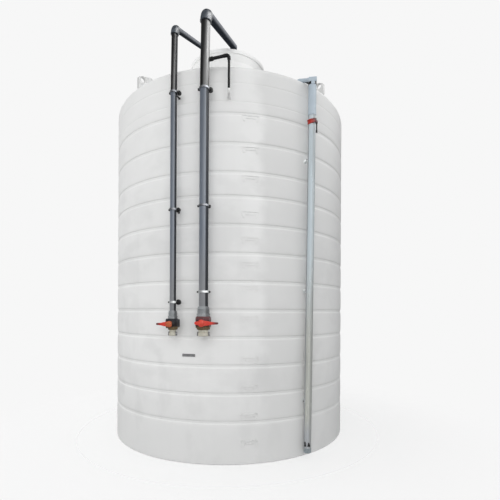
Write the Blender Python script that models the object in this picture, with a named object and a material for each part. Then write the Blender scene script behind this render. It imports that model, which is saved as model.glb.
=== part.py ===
"""Vertical storage tank with two fill risers, a vent line and a float level gauge.

Metres, +Z up. The origin is the middle of the tank's underside and the front faces -Y.
Angles go round the tank from the front, positive towards +X. In a piece's own frame -Y
points away from the tank, X runs along the wall and Z is up.
"""

import math

import bmesh
import bpy
from mathutils import Matrix, Vector

# Driving dimensions
TANK_RADIUS = 1.5
GAP = 0.0003
ROUND_FACETS = 48
NECK_FACETS = 32
WALL_SEGMENTS = 8
PIPE_SIDES = 16

# Tank shell
WALL_SKIN = 0.034
FOOT_ROUNDING = 0.07
WALL_TOP = 2.60 * TANK_RADIUS
SHOULDER_START = 2.655 * TANK_RADIUS
SHOULDER_ROUNDING = 0.035 * TANK_RADIUS
ROOF_PITCH = math.radians(28.0)
ROOF_SKIN = 0.03
CROWN_RADIUS = 0.42 * TANK_RADIUS

# Manway, which stands on the flat crown a little left of its middle
MANWAY_CENTRE = (-0.04 * TANK_RADIUS, 0.0)
NECK_RADIUS = 0.345 * TANK_RADIUS
NECK_SKIN = 0.03
LID_TOP = 3.262 * TANK_RADIUS
LID_THICKNESS = 0.05
LID_OVERHANG = 0.015
LID_EDGE = 0.012

# Moulded rings, as heights over the tank's radius
RING_HEIGHTS = (0.295, 0.484, 0.673, 0.864, 1.049, 1.241, 1.432, 1.625, 1.817, 1.978, 2.174, 2.373)
RING_HALF_HEIGHT = 0.034
RING_DEPTH = 0.016

# Lifting lugs
LUG_ANGLES = (-45.0, 51.0, 135.0, -129.0)
LUG_THICKNESS = 0.036
LUG_INNER_RADIUS = 0.835 * TANK_RADIUS
LUG_OUTER_RADIUS = 0.945 * TANK_RADIUS
LUG_OVERHANG = 0.02
LUG_OUTER_HEIGHT = 0.135
LUG_INNER_HEIGHT = 0.115
LUG_HOLE_RADIUS = 0.03
LUG_HOLE_CENTRE = (0.92 * TANK_RADIUS, 2.796 * TANK_RADIUS)

# Fill risers: everything that differs between the two lines
RISERS = {
    "large": {
        "angle": -6.57,
        "distance": 1.6245,
        "pipe_radius": 0.045,
        "socket_radius": 0.055,
        "corner_height": 4.474,
        "drop_corner": (0.027, -0.162, 5.151),
        "bend_radius": 0.065,
        "drop_bend_radius": 0.065,
        "clip_heights": (3.721, 2.580, 1.741),
        "valve_bottom": 1.370,
        "valve_top": 1.503,
        "union_top": 1.597,
        "valve_width": 0.146,
        "outlet_bottom": 1.308,
        "outlet_radius": 0.058,
        "handle_reach": 0.165,
        "handle_tail": 0.066,
        "handle_side": 1,
    },
    "small": {
        "angle": -18.05,
        "distance": 1.6155,
        "pipe_radius": 0.0315,
        "socket_radius": 0.0395,
        "corner_height": 4.383,
        "drop_corner": (-0.306, -0.162, 5.077),
        "bend_radius": 0.05,
        "drop_bend_radius": 0.045,
        "clip_heights": (3.730, 2.563, 1.641),
        "valve_bottom": 1.366,
        "valve_top": 1.480,
        "union_top": 1.556,
        "valve_width": 0.128,
        "outlet_bottom": 1.307,
        "outlet_radius": 0.040,
        "handle_reach": 0.145,
        "handle_tail": 0.036,
        "handle_side": -1,
    },
}
SOCKET_LENGTH = 0.045
FLANGE_THICKNESS = 0.02
FLANGE_EXTRA = 0.035
CLIP_HALF_HEIGHT = 0.014
CLIP_BAND = 0.006
STANDOFF_RADIUS = 0.028
STANDOFF_NECK_RADIUS = 0.016
STANDOFF_BASE = 0.03
STEM_RADIUS = 0.014
HANDLE_THICKNESS = 0.018
HANDLE_CLEARANCE = 0.006
HUB_RADIUS = 0.031
BEND_STEPS = 5

# Vent line
VENT_RADIUS = 0.018
VENT_X = 0.052
VENT_DISTANCE = 1.602
VENT_TOP = 4.063
VENT_START_HEIGHT = 4.009
VENT_BOTTOM = 3.738
VENT_NOZZLE_HEIGHT = 3.685
VENT_NOZZLE_RADIUS = 0.024
VENT_BEND_RADIUS = 0.03

# Level gauge, whose line leans a little away from the wall towards its top
GAUGE_FOOT = (34.48, 1.562, 0.053)
GAUGE_HEAD = (35.02, 1.600, 3.984)
GAUGE_TUBE_RADIUS = 0.0375
GAUGE_PIPE_RADIUS = 0.043
GAUGE_SOCKET_RADIUS = 0.049
GAUGE_JOIN_HEIGHT = 3.640
GAUGE_CAP_HEIGHT = 0.115
GAUGE_CAP_RADIUS = 0.044
GAUGE_BEND_RADIUS = 0.05
GAUGE_RUN_PITCH = math.radians(21.0)
GAUGE_RUN_LENGTH = 0.30
GAUGE_DROP_LENGTH = 0.05
GAUGE_BRACKET_HEIGHTS = (3.16, 1.77, 0.60)
GAUGE_SADDLE_ANGLE = math.radians(48.0)
POINTER_HEIGHT = 3.557
POINTER_HALF_HEIGHT = 0.031
POINTER_THICKNESS = 0.014
POINTER_ANGLE = math.radians(110.0)
POINTER_PLAY = 0.0006

# Plain plate on the wall
PLATE_ANGLE = -13.6
PLATE_HEIGHT = 1.103
PLATE_SIZE = (0.138, 0.004, 0.028)

COLOURS = {
    "shell": ((0.70, 0.70, 0.69), 0.42, 0.0),
    "pipe": ((0.13, 0.15, 0.18), 0.38, 0.0),
    "fitting": ((0.07, 0.07, 0.085), 0.42, 0.0),
    "clip": ((0.42, 0.43, 0.44), 0.35, 0.6),
    "valve": ((0.035, 0.03, 0.03), 0.45, 0.0),
    "handle": ((0.62, 0.10, 0.04), 0.40, 0.0),
    "outlet": ((0.42, 0.42, 0.34), 0.45, 0.0),
    "vent": ((0.02, 0.02, 0.022), 0.40, 0.0),
    "nozzle": ((0.72, 0.72, 0.70), 0.40, 0.0),
    "gauge_pipe": ((0.34, 0.40, 0.45), 0.35, 0.0),
    "gauge_tube": ((0.55, 0.58, 0.52), 0.12, 0.0),
    "plate": ((0.10, 0.10, 0.11), 0.5, 0.0),
}


def clear_scene():
    for obj in list(bpy.data.objects):
        bpy.data.objects.remove(obj)


def material(name, kind):
    colour, roughness, metallic = COLOURS[kind]
    made = bpy.data.materials.new(name + "_finish")
    made.use_nodes = True
    shader = made.node_tree.nodes["Principled BSDF"]
    shader.inputs["Base Color"].default_value = (*colour, 1.0)
    shader.inputs["Roughness"].default_value = roughness
    shader.inputs["Metallic"].default_value = metallic
    made.diffuse_color = (*colour, 1.0)
    return made


def finish(name, mesh_data, kind, place=None):
    """Turns a bmesh into an object of its own, faces out and round faces smooth."""
    bmesh.ops.recalc_face_normals(mesh_data, faces=mesh_data.faces)
    mesh = bpy.data.meshes.new(name)
    mesh_data.to_mesh(mesh)
    mesh_data.free()
    mesh.shade_smooth()
    mesh.set_sharp_from_angle(angle=math.radians(32.0))
    mesh.materials.append(material(name, kind))
    obj = bpy.data.objects.new(name, mesh)
    bpy.context.collection.objects.link(obj)
    if place is not None:
        obj.matrix_world = place
    return obj


def helper(obj):
    obj.hide_render = True
    obj.display_type = "WIRE"
    return obj


def boolean(obj, other, operation):
    modifier = obj.modifiers.new(operation.lower() + "_" + other.name, "BOOLEAN")
    modifier.object = helper(other)
    modifier.operation = operation
    modifier.solver = "EXACT"


def at(angle, distance, height):
    """The frame of a piece at this angle round the tank, -Y away from the tank."""
    turn = Matrix.Rotation(math.radians(angle), 4, "Z")
    return turn @ Matrix.Translation((0.0, -distance, height))


def point_at(angle, distance, height):
    return at(angle, distance, height).to_translation()


def wall_distance(radius, angle, half_width):
    """How far out the faceted round wall reaches, along this angle, under a flat pad."""
    step = 2 * math.pi / ROUND_FACETS
    apothem = radius * math.cos(step / 2)
    turn = math.radians(angle)
    reaches = []
    for share in range(-8, 9):
        offset = half_width * share / 8
        planes = []
        for facet in range(ROUND_FACETS):
            lean = turn - (facet + 0.5) * step
            if math.cos(lean) > 0.5:
                planes.append((apothem + offset * math.sin(lean)) / math.cos(lean))
        reaches.append(min(planes))
    return max(reaches)


def turned(name, outline, kind, place=None, facets=PIPE_SIDES):
    """A closed outline of (radius, height) points turned all the way round Z."""
    shape = bmesh.new()
    rings = []
    for radius, height in outline:
        if radius == 0:
            rings.append([shape.verts.new((0, 0, height))] * facets)
            continue
        ring = []
        for step in range(facets):
            turn = 2 * math.pi * step / facets
            ring.append(shape.verts.new((radius * math.sin(turn), -radius * math.cos(turn), height)))
        rings.append(ring)
    for one, two in zip(rings, rings[1:] + rings[:1]):
        for step in range(facets):
            following = (step + 1) % facets
            corners = [one[step], one[following], two[following], two[step]]
            corners = list(dict.fromkeys(corners))
            if len(corners) > 2:
                shape.faces.new(corners)
    return finish(name, shape, kind, place)


def turned_part(name, outline, kind, start, end, facets):
    """A closed outline turned from one angle to another, with a flat end at each."""
    shape = bmesh.new()
    sections = []
    for step in range(facets + 1):
        turn = start + (end - start) * step / facets
        section = []
        for radius, height in outline:
            section.append(shape.verts.new((radius * math.sin(turn), -radius * math.cos(turn), height)))
        sections.append(section)
    count = len(outline)
    for one, two in zip(sections, sections[1:]):
        for index in range(count):
            following = (index + 1) % count
            shape.faces.new((one[index], one[following], two[following], two[index]))
    shape.faces.new(sections[0])
    shape.faces.new(sections[-1])
    return finish(name, shape, kind)


def extruded(name, outline, thickness, kind, place=None):
    """A closed outline of (x, z) points, made thick along Y about its own plane."""
    shape = bmesh.new()
    front = [shape.verts.new((x, -thickness / 2, z)) for x, z in outline]
    back = [shape.verts.new((x, thickness / 2, z)) for x, z in outline]
    count = len(outline)
    for index in range(count):
        following = (index + 1) % count
        shape.faces.new((front[index], front[following], back[following], back[index]))
    shape.faces.new(front)
    shape.faces.new(back)
    return finish(name, shape, kind, place)


def swept(name, sections, kind, sides=PIPE_SIDES):
    """A round bar through sections of (centre, direction, radius) that lie in one plane."""
    shape = bmesh.new()
    first, last = Vector(sections[0][1]), Vector(sections[-1][1])
    across = first.cross(last)
    if across.length < 1e-6:
        across = first.orthogonal()
    across.normalize()
    rings = []
    for centre, direction, radius in sections:
        other = Vector(direction).normalized().cross(across)
        ring = []
        for step in range(sides):
            turn = 2 * math.pi * step / sides
            offset = radius * (math.cos(turn) * across + math.sin(turn) * other)
            ring.append(shape.verts.new(Vector(centre) + offset))
        rings.append(ring)
    for one, two in zip(rings, rings[1:]):
        for step in range(sides):
            following = (step + 1) % sides
            shape.faces.new((one[step], one[following], two[following], two[step]))
    shape.faces.new(rings[0])
    shape.faces.new(rings[-1])
    return finish(name, shape, kind)


def cylinder(name, start, end, radius, kind, sides=PIPE_SIDES):
    direction = Vector(end) - Vector(start)
    return swept(name, [(start, direction, radius), (end, direction, radius)], kind, sides)


def bend_sections(before, corner, after, bend_radius, pipe_radius):
    """Sections along a round bend at a corner between two straight directions."""
    turn = before.angle(after)
    reach = bend_radius * math.tan(turn / 2)
    normal = before.cross(after).normalized()
    start = corner - before * reach
    centre = start + normal.cross(before) * bend_radius
    sections = []
    for step in range(BEND_STEPS + 1):
        rotation = Matrix.Rotation(turn * step / BEND_STEPS, 3, normal)
        sections.append((centre + rotation @ (start - centre), rotation @ before, pipe_radius))
    return sections, reach


def elbow(name, before, corner, after, bend_radius, pipe_radius, socket_radius, kind):
    """A bend with a thicker socket at each end. Returns where its two sockets end."""
    sections, reach = bend_sections(before, corner, after, bend_radius, pipe_radius * 1.08)
    start = corner - before * (reach + SOCKET_LENGTH)
    end = corner + after * (reach + SOCKET_LENGTH)
    first = sections[0][0]
    last = sections[-1][0]
    whole = [(start, before, socket_radius), (first, before, socket_radius)]
    whole += sections
    whole += [(last, after, socket_radius), (end, after, socket_radius)]
    swept(name, whole, kind)
    return start, end


def roof_height(radius):
    """Height of the roof's outer face on its straight slope."""
    slope_start = TANK_RADIUS - SHOULDER_ROUNDING * (1 - math.sin(ROOF_PITCH))
    slope_height = SHOULDER_START + SHOULDER_ROUNDING * math.cos(ROOF_PITCH)
    return slope_height + (slope_start - radius) * math.tan(ROOF_PITCH)


def shoulder(rounding, steps):
    """Points of the round shoulder, from the wall up to where the slope starts."""
    points = []
    for step in range(steps + 1):
        turn = (math.pi / 2 - ROOF_PITCH) * step / steps
        radius = TANK_RADIUS - SHOULDER_ROUNDING + rounding * math.cos(turn)
        points.append((radius, SHOULDER_START + rounding * math.sin(turn)))
    return points


def wall_outline():
    outline = []
    for step in range(5):
        turn = math.pi / 2 * step / 4
        radius = TANK_RADIUS - FOOT_ROUNDING * (1 - math.sin(turn))
        outline.append((radius, FOOT_ROUNDING * (1 - math.cos(turn))))
    for share in RING_HEIGHTS:
        middle = share * TANK_RADIUS
        outline.append((TANK_RADIUS, middle - RING_HALF_HEIGHT))
        outline.append((TANK_RADIUS - RING_DEPTH, middle))
        outline.append((TANK_RADIUS, middle + RING_HALF_HEIGHT))
    outline.append((TANK_RADIUS, WALL_TOP))
    outline.append((TANK_RADIUS - WALL_SKIN, WALL_TOP))
    outline.append((TANK_RADIUS - WALL_SKIN, FOOT_ROUNDING))
    outline.append((TANK_RADIUS - FOOT_ROUNDING, WALL_SKIN))
    return outline


def build_shell():
    floor_radius = TANK_RADIUS - FOOT_ROUNDING - GAP
    floor = [(0, 0), (floor_radius, 0), (floor_radius, WALL_SKIN), (0, WALL_SKIN)]
    turned("tank_floor", floor, "shell", facets=ROUND_FACETS)
    share = 2 * math.pi / WALL_SEGMENTS
    slit = GAP / TANK_RADIUS
    for index in range(WALL_SEGMENTS):
        start = index * share + slit / 2
        name = f"wall_segment_{index + 1}"
        turned_part(name, wall_outline(), "shell", start, start + share - slit, ROUND_FACETS // WALL_SEGMENTS)


def build_roof():
    crown = roof_height(CROWN_RADIUS)
    base = WALL_TOP + GAP
    outer = [(TANK_RADIUS, base)] + shoulder(SHOULDER_ROUNDING, 4)
    outer += [(CROWN_RADIUS, crown), (0, crown)]
    drop = ROOF_SKIN / math.cos(ROOF_PITCH)
    inner_crown = CROWN_RADIUS - ROOF_SKIN * (1 / math.cos(ROOF_PITCH) - 1) / math.tan(ROOF_PITCH)
    inner = [(0, crown - ROOF_SKIN), (inner_crown, crown - ROOF_SKIN)]
    inner += reversed(shoulder(SHOULDER_ROUNDING - ROOF_SKIN, 4))
    inner += [(TANK_RADIUS - ROOF_SKIN, base)]
    roof = turned("tank_roof", outer + inner, "shell", facets=ROUND_FACETS)
    neck_outside = NECK_RADIUS - LID_OVERHANG
    neck_inside = neck_outside - NECK_SKIN
    place = Matrix.Translation((*MANWAY_CENTRE, 0))
    hole = [(0, crown - 2 * drop), (neck_inside, crown - 2 * drop), (neck_inside, crown + drop), (0, crown + drop)]
    boolean(roof, turned("manway_hole", hole, "shell", place, NECK_FACETS), "DIFFERENCE")
    neck_top = LID_TOP - LID_THICKNESS
    neck = ring_outline(neck_inside, neck_outside, crown + GAP, neck_top - GAP)
    turned("manway_neck", neck, "shell", place, NECK_FACETS)
    lid = [
        (0, neck_top),
        (NECK_RADIUS, neck_top),
        (NECK_RADIUS, LID_TOP - LID_EDGE),
        (NECK_RADIUS - LID_EDGE, LID_TOP),
        (0, LID_TOP),
    ]
    turned("manway_lid", lid, "shell", place, NECK_FACETS)


def build_lugs():
    for index, angle in enumerate(LUG_ANGLES):
        half = LUG_THICKNESS / 2
        inner = wall_distance(LUG_INNER_RADIUS, angle, half)
        outer = wall_distance(LUG_OUTER_RADIUS, angle, half)
        inner_base = roof_height(LUG_INNER_RADIUS) + 2 * GAP
        outer_base = roof_height(LUG_OUTER_RADIUS) + 2 * GAP
        outline = [
            (-inner, inner_base),
            (-outer, outer_base),
            (-outer - LUG_OVERHANG, outer_base + 0.04),
            (-outer - LUG_OVERHANG, outer_base + LUG_OUTER_HEIGHT - 0.02),
            (-outer, outer_base + LUG_OUTER_HEIGHT),
            (-inner - 0.02, inner_base + LUG_INNER_HEIGHT),
            (-inner, inner_base + LUG_INNER_HEIGHT - 0.02),
        ]
        place = Matrix.Rotation(math.radians(angle + 90.0), 4, "Z")
        lug = extruded(f"lifting_lug_{index + 1}", outline, LUG_THICKNESS, "shell", place)
        radius, height = LUG_HOLE_CENTRE
        cut = cylinder(
            f"lug_hole_{index + 1}",
            place @ Vector((-radius, -LUG_THICKNESS, height)),
            place @ Vector((-radius, LUG_THICKNESS, height)),
            LUG_HOLE_RADIUS,
            "shell",
            16,
        )
        boolean(lug, cut, "DIFFERENCE")


def ring_outline(inner, outer, bottom, top):
    return [(inner, bottom), (outer, bottom), (outer, top), (inner, top)]


def build_clip(name, size, height):
    """A band round the riser on a round stand-off that rests on the wall."""
    place = at(size["angle"], size["distance"], height)
    inner = size["pipe_radius"] + GAP
    outer = inner + CLIP_BAND
    band = turned(name, ring_outline(inner, outer, -CLIP_HALF_HEIGHT, CLIP_HALF_HEIGHT), "clip", place)
    wall = size["distance"] - wall_distance(TANK_RADIUS, size["angle"], STANDOFF_RADIUS) - GAP
    direction = Vector((0, 1, 0))
    sections = [
        ((0, inner + CLIP_BAND / 2, 0), direction, STANDOFF_NECK_RADIUS * 0.8),
        ((0, wall - STANDOFF_BASE, 0), direction, STANDOFF_NECK_RADIUS),
        ((0, wall - STANDOFF_BASE, 0), direction, STANDOFF_RADIUS),
        ((0, wall, 0), direction, STANDOFF_RADIUS),
    ]
    post = swept(name + "_post", sections, "clip", 16)
    post.matrix_world = place
    boolean(band, post, "UNION")


def valve_block(name, size):
    """The valve's body with its two barrels and the stem, as one casting."""
    height = size["valve_top"] - size["valve_bottom"] - 2 * GAP
    middle = (size["valve_top"] + size["valve_bottom"]) / 2
    place = at(size["angle"], size["distance"], middle)
    half_width = size["valve_width"] / 2
    chamfer = half_width * 0.35
    outline = [
        (-half_width, -height / 2 + chamfer),
        (-half_width + chamfer, -height / 2 + chamfer * 0.4),
        (half_width - chamfer, -height / 2 + chamfer * 0.4),
        (half_width, -height / 2 + chamfer),
        (half_width, height / 2 - chamfer),
        (half_width - chamfer, height / 2 - chamfer * 0.4),
        (-half_width + chamfer, height / 2 - chamfer * 0.4),
        (-half_width, height / 2 - chamfer),
    ]
    depth = valve_depth(size)
    block = extruded(name, outline, depth, "valve", place)
    barrel_radius = size["socket_radius"] * 1.05
    barrel = cylinder(name + "_barrel", (0, 0, -height / 2), (0, 0, height / 2), barrel_radius, "valve")
    barrel.matrix_world = place
    stem_end = -depth / 2 - HANDLE_CLEARANCE - HANDLE_THICKNESS - 0.008
    stem = cylinder(name + "_stem", (0, 0, 0), (0, stem_end, 0), STEM_RADIUS, "valve", 16)
    stem.matrix_world = place
    boolean(block, barrel, "UNION")
    boolean(block, stem, "UNION")


def valve_depth(size):
    return 2.6 * size["socket_radius"]


def lever_outline(size):
    """The handle seen along its stem: a round hub, a long arm and a short tail."""
    reach = size["handle_reach"]
    tail = size["handle_tail"]
    side = size["handle_side"]
    arm_half = 0.013
    tip_radius = 0.017
    tail_half = 0.015
    upper = []
    upper.append((reach, 0.0))
    for step in range(1, 5):
        turn = math.pi / 2 * step / 4
        upper.append((reach - tip_radius + tip_radius * math.cos(turn), tip_radius * math.sin(turn)))
    arm_turn = math.asin(arm_half / HUB_RADIUS)
    tail_turn = math.pi - math.asin(tail_half / HUB_RADIUS)
    for step in range(7):
        turn = arm_turn + (tail_turn - arm_turn) * step / 6
        upper.append((HUB_RADIUS * math.cos(turn), HUB_RADIUS * math.sin(turn)))
    if tail > HUB_RADIUS + 0.012:
        upper.append((-tail + 0.01, tail_half))
        upper.append((-tail, tail_half - 0.01))
    lower = [(x, -z) for x, z in reversed(upper[1:])]
    return [(side * x, z) for x, z in upper + lower]


def build_handle(name, size):
    middle = (size["valve_top"] + size["valve_bottom"]) / 2
    place = at(size["angle"], size["distance"], middle)
    out = valve_depth(size) / 2 + HANDLE_CLEARANCE + HANDLE_THICKNESS / 2
    handle = extruded(name, lever_outline(size), HANDLE_THICKNESS, "handle", place @ Matrix.Translation((0, -out, 0)))
    bore_start = place @ Vector((0, -out - HANDLE_THICKNESS, 0))
    bore_end = place @ Vector((0, -out + HANDLE_THICKNESS, 0))
    bore = cylinder(name + "_bore", bore_start, bore_end, STEM_RADIUS + 0.0005, "handle", 16)
    boolean(handle, bore, "DIFFERENCE")


def build_riser(key):
    size = RISERS[key]
    up = Vector((0, 0, 1))
    corner = point_at(size["angle"], size["distance"], size["corner_height"])
    drop_corner = Vector(size["drop_corner"])
    run = (drop_corner - corner).normalized()
    radius = size["pipe_radius"]
    socket = size["socket_radius"]
    foot, run_start = elbow(f"{key}_top_elbow", up, corner, run, size["bend_radius"], radius, socket, "fitting")
    run_end, drop_start = elbow(
        f"{key}_lid_elbow", run, drop_corner, -up, size["drop_bend_radius"], radius, socket, "fitting"
    )
    cylinder(f"{key}_run", run_start + run * GAP, run_end - run * GAP, radius, "pipe")
    lid_face = LID_TOP + GAP
    stub_place = Matrix.Translation((drop_corner.x, drop_corner.y, 0))
    flange_top = lid_face + FLANGE_THICKNESS
    stub = [
        (0, lid_face),
        (radius + FLANGE_EXTRA, lid_face),
        (radius + FLANGE_EXTRA, flange_top),
        (radius, flange_top),
        (radius, drop_start.z - GAP),
        (0, drop_start.z - GAP),
    ]
    turned(f"{key}_lid_flange", stub, "fitting", stub_place)
    place = at(size["angle"], size["distance"], 0)
    union_top = size["union_top"]
    pipe = [(0, union_top + GAP), (radius, union_top + GAP), (radius, foot.z - GAP), (0, foot.z - GAP)]
    turned(f"{key}_riser", pipe, "pipe", place)
    for index, height in enumerate(size["clip_heights"]):
        build_clip(f"{key}_clip_{index + 1}", size, height)
    top, bottom = union_top, size["valve_top"]
    nut_bottom = bottom + 0.35 * (top - bottom)
    nut_top = bottom + 0.72 * (top - bottom)
    union = [
        (0, bottom),
        (socket * 1.12, bottom),
        (socket * 1.12, nut_bottom),
        (socket * 1.22, nut_bottom),
        (socket * 1.22, nut_top),
        (socket, nut_top),
        (socket, top),
        (0, top),
    ]
    turned(f"{key}_union", union, "fitting", place)
    valve_block(f"{key}_valve", size)
    build_handle(f"{key}_handle", size)
    top, bottom = size["valve_bottom"], size["outlet_bottom"]
    collar = bottom + 0.55 * (top - bottom)
    outlet = [
        (0, bottom),
        (size["outlet_radius"] - 0.006, bottom),
        (size["outlet_radius"], bottom + 0.006),
        (size["outlet_radius"], collar),
        (size["outlet_radius"] * 0.82, collar),
        (size["outlet_radius"] * 0.82, top),
        (0, top),
    ]
    turned(f"{key}_outlet", outlet, "outlet", place)


def build_vent():
    """A thin line from the large riser, over and down to a nozzle on the wall."""
    size = RISERS["large"]
    riser = point_at(size["angle"], size["distance"], 0)
    angle = math.degrees(math.asin(VENT_X / VENT_DISTANCE))
    corner = point_at(angle, VENT_DISTANCE, VENT_TOP)
    start = Vector((riser.x, riser.y, VENT_START_HEIGHT))
    along = (corner - start).normalized()
    down = Vector((0, 0, -1))
    flat = Vector((along.x, along.y, 0)).length
    start += along * (size["pipe_radius"] + 2 * GAP + VENT_RADIUS * along.z) / flat
    end = Vector((corner.x, corner.y, VENT_BOTTOM))
    sections, reach = bend_sections(along, corner, down, VENT_BEND_RADIUS, VENT_RADIUS)
    line = [(start, along, VENT_RADIUS)] + sections + [(end, down, VENT_RADIUS)]
    swept("vent_line", line, "vent", 14)
    inward = Matrix.Rotation(math.radians(angle), 3, "Z") @ Vector((0, 1, 0))
    turn = Vector((corner.x, corner.y, VENT_NOZZLE_HEIGHT))
    wall = wall_distance(TANK_RADIUS, angle, VENT_NOZZLE_RADIUS * 1.4) + GAP
    face = point_at(angle, wall, VENT_NOZZLE_HEIGHT)
    sections, reach = bend_sections(down, turn, inward, VENT_BEND_RADIUS, VENT_NOZZLE_RADIUS)
    collar = face - inward * 0.012
    nozzle = [(end + down * GAP, down, VENT_NOZZLE_RADIUS)] + sections
    nozzle += [(collar, inward, VENT_NOZZLE_RADIUS), (collar, inward, VENT_NOZZLE_RADIUS * 1.4)]
    nozzle += [(face, inward, VENT_NOZZLE_RADIUS * 1.4)]
    swept("vent_nozzle", nozzle, "nozzle", 14)


def gauge_point(height):
    """The middle of the gauge's line at this height."""
    foot = point_at(*GAUGE_FOOT)
    head = point_at(*GAUGE_HEAD)
    return foot + (head - foot) * (height - foot.z) / (head.z - foot.z)


def gauge_frame(height):
    """A frame on the gauge's line: Z up the tube and -Y away from the tank."""
    up = (gauge_point(1.0) - gauge_point(0.0)).normalized()
    centre = gauge_point(height)
    out = Vector((centre.x, centre.y, 0)).normalized()
    across = up.cross(-out).normalized() * -1.0
    inward = up.cross(across)
    turn = Matrix((across, inward, up)).transposed().to_4x4()
    return Matrix.Translation(centre) @ turn


def arc_outline(inner, outer, half_angle, middle, steps):
    """Part of a flat ring, as (x, y) points, about the direction of the middle angle."""
    points = []
    for step in range(steps + 1):
        turn = middle - half_angle + 2 * half_angle * step / steps
        points.append((outer * math.sin(turn), -outer * math.cos(turn)))
    for step in reversed(range(steps + 1)):
        turn = middle - half_angle + 2 * half_angle * step / steps
        points.append((inner * math.sin(turn), -inner * math.cos(turn)))
    return points


def upright(name, outline, bottom, top, kind, place):
    """A closed outline of (x, y) points made tall between two heights."""
    shape = bmesh.new()
    low = [shape.verts.new((x, y, bottom)) for x, y in outline]
    high = [shape.verts.new((x, y, top)) for x, y in outline]
    count = len(outline)
    for index in range(count):
        following = (index + 1) % count
        shape.faces.new((low[index], low[following], high[following], high[index]))
    shape.faces.new(low)
    shape.faces.new(high)
    return finish(name, shape, kind, place)


def build_gauge():
    up = (gauge_point(1.0) - gauge_point(0.0)).normalized()
    foot = gauge_point(GAUGE_FOOT[2])
    cap_top = gauge_point(GAUGE_FOOT[2] + GAUGE_CAP_HEIGHT)
    join = gauge_point(GAUGE_JOIN_HEIGHT)
    cylinder("gauge_foot_cap", foot, cap_top - up * GAP, GAUGE_CAP_RADIUS, "vent")
    cylinder("gauge_tube", cap_top, join - up * GAP, GAUGE_TUBE_RADIUS, "gauge_tube", 24)
    head = point_at(*GAUGE_HEAD)
    inward = -Vector((head.x, head.y, 0)).normalized()
    run = inward * math.cos(GAUGE_RUN_PITCH) + Vector((0, 0, math.sin(GAUGE_RUN_PITCH)))
    down = Vector((0, 0, -1))
    start, run_start = elbow(
        "gauge_elbow", up, head, run, GAUGE_BEND_RADIUS, GAUGE_PIPE_RADIUS, GAUGE_SOCKET_RADIUS, "gauge_pipe"
    )
    cylinder("gauge_pipe", join, start - up * GAP, GAUGE_PIPE_RADIUS, "gauge_pipe")
    corner = head + run * GAUGE_RUN_LENGTH
    sections, reach = bend_sections(run, corner, down, GAUGE_BEND_RADIUS, GAUGE_PIPE_RADIUS)
    end = corner + down * (reach + GAUGE_DROP_LENGTH)
    line = [(run_start + run * GAP, run, GAUGE_PIPE_RADIUS)] + sections + [(end, down, GAUGE_PIPE_RADIUS)]
    bent = swept("gauge_run", line, "gauge_pipe")
    lift = 3 * GAP
    grown = [(0, WALL_TOP), (TANK_RADIUS, WALL_TOP)]
    grown += [(radius, height + lift) for radius, height in shoulder(SHOULDER_ROUNDING, 4)]
    grown += [(CROWN_RADIUS, roof_height(CROWN_RADIUS) + lift), (0, roof_height(CROWN_RADIUS) + lift)]
    boolean(bent, turned("roof_cut", grown, "shell", facets=ROUND_FACETS), "DIFFERENCE")
    for index, height in enumerate(GAUGE_BRACKET_HEIGHTS):
        build_gauge_bracket(f"gauge_bracket_{index + 1}", height)
    inner = GAUGE_TUBE_RADIUS + POINTER_PLAY
    outline = arc_outline(inner, inner + POINTER_THICKNESS, POINTER_ANGLE, 0.0, 16)
    place = gauge_frame(POINTER_HEIGHT)
    upright("gauge_pointer", outline, -POINTER_HALF_HEIGHT, POINTER_HALF_HEIGHT, "handle", place)


def build_gauge_bracket(name, height):
    """A saddle behind the tube on a short foot that rests on the wall."""
    place = gauge_frame(height)
    centre = gauge_point(height)
    angle = math.degrees(math.atan2(centre.x, -centre.y))
    distance = Vector((centre.x, centre.y, 0)).length
    inner = GAUGE_TUBE_RADIUS + GAP
    outer = inner + 0.006
    saddle = arc_outline(inner, outer, GAUGE_SADDLE_ANGLE, math.pi, 8)
    half = 0.02
    wall = distance - wall_distance(TANK_RADIUS, angle, half) - GAP - 0.0005
    piece = upright(name, saddle, -0.02, 0.02, "clip", place)
    foot = [(-0.014, inner + 0.003), (0.014, inner + 0.003), (0.014, wall), (-0.014, wall)]
    block = upright(name + "_foot", foot, -0.015, 0.015, "clip", place)
    boolean(piece, block, "UNION")


def build_plate():
    wide, thick, tall = PLATE_SIZE
    distance = wall_distance(TANK_RADIUS, PLATE_ANGLE, wide / 2) + GAP + thick / 2
    outline = [(-wide / 2, -tall / 2), (wide / 2, -tall / 2), (wide / 2, tall / 2), (-wide / 2, tall / 2)]
    extruded("wall_plate", outline, thick, "plate", at(PLATE_ANGLE, distance, PLATE_HEIGHT))


def main():
    clear_scene()
    build_shell()
    build_roof()
    build_lugs()
    for key in RISERS:
        build_riser(key)
    build_vent()
    build_gauge()
    build_plate()


main()
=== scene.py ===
"""Finished looks for a vertical storage tank: its moulded shell, its pipework and its level gauge.

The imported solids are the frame. Each operator models one group of pieces over its solids and
gives it its finish, and main() runs them all in order. Metres, +Z up, front towards -Y.
"""

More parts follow.
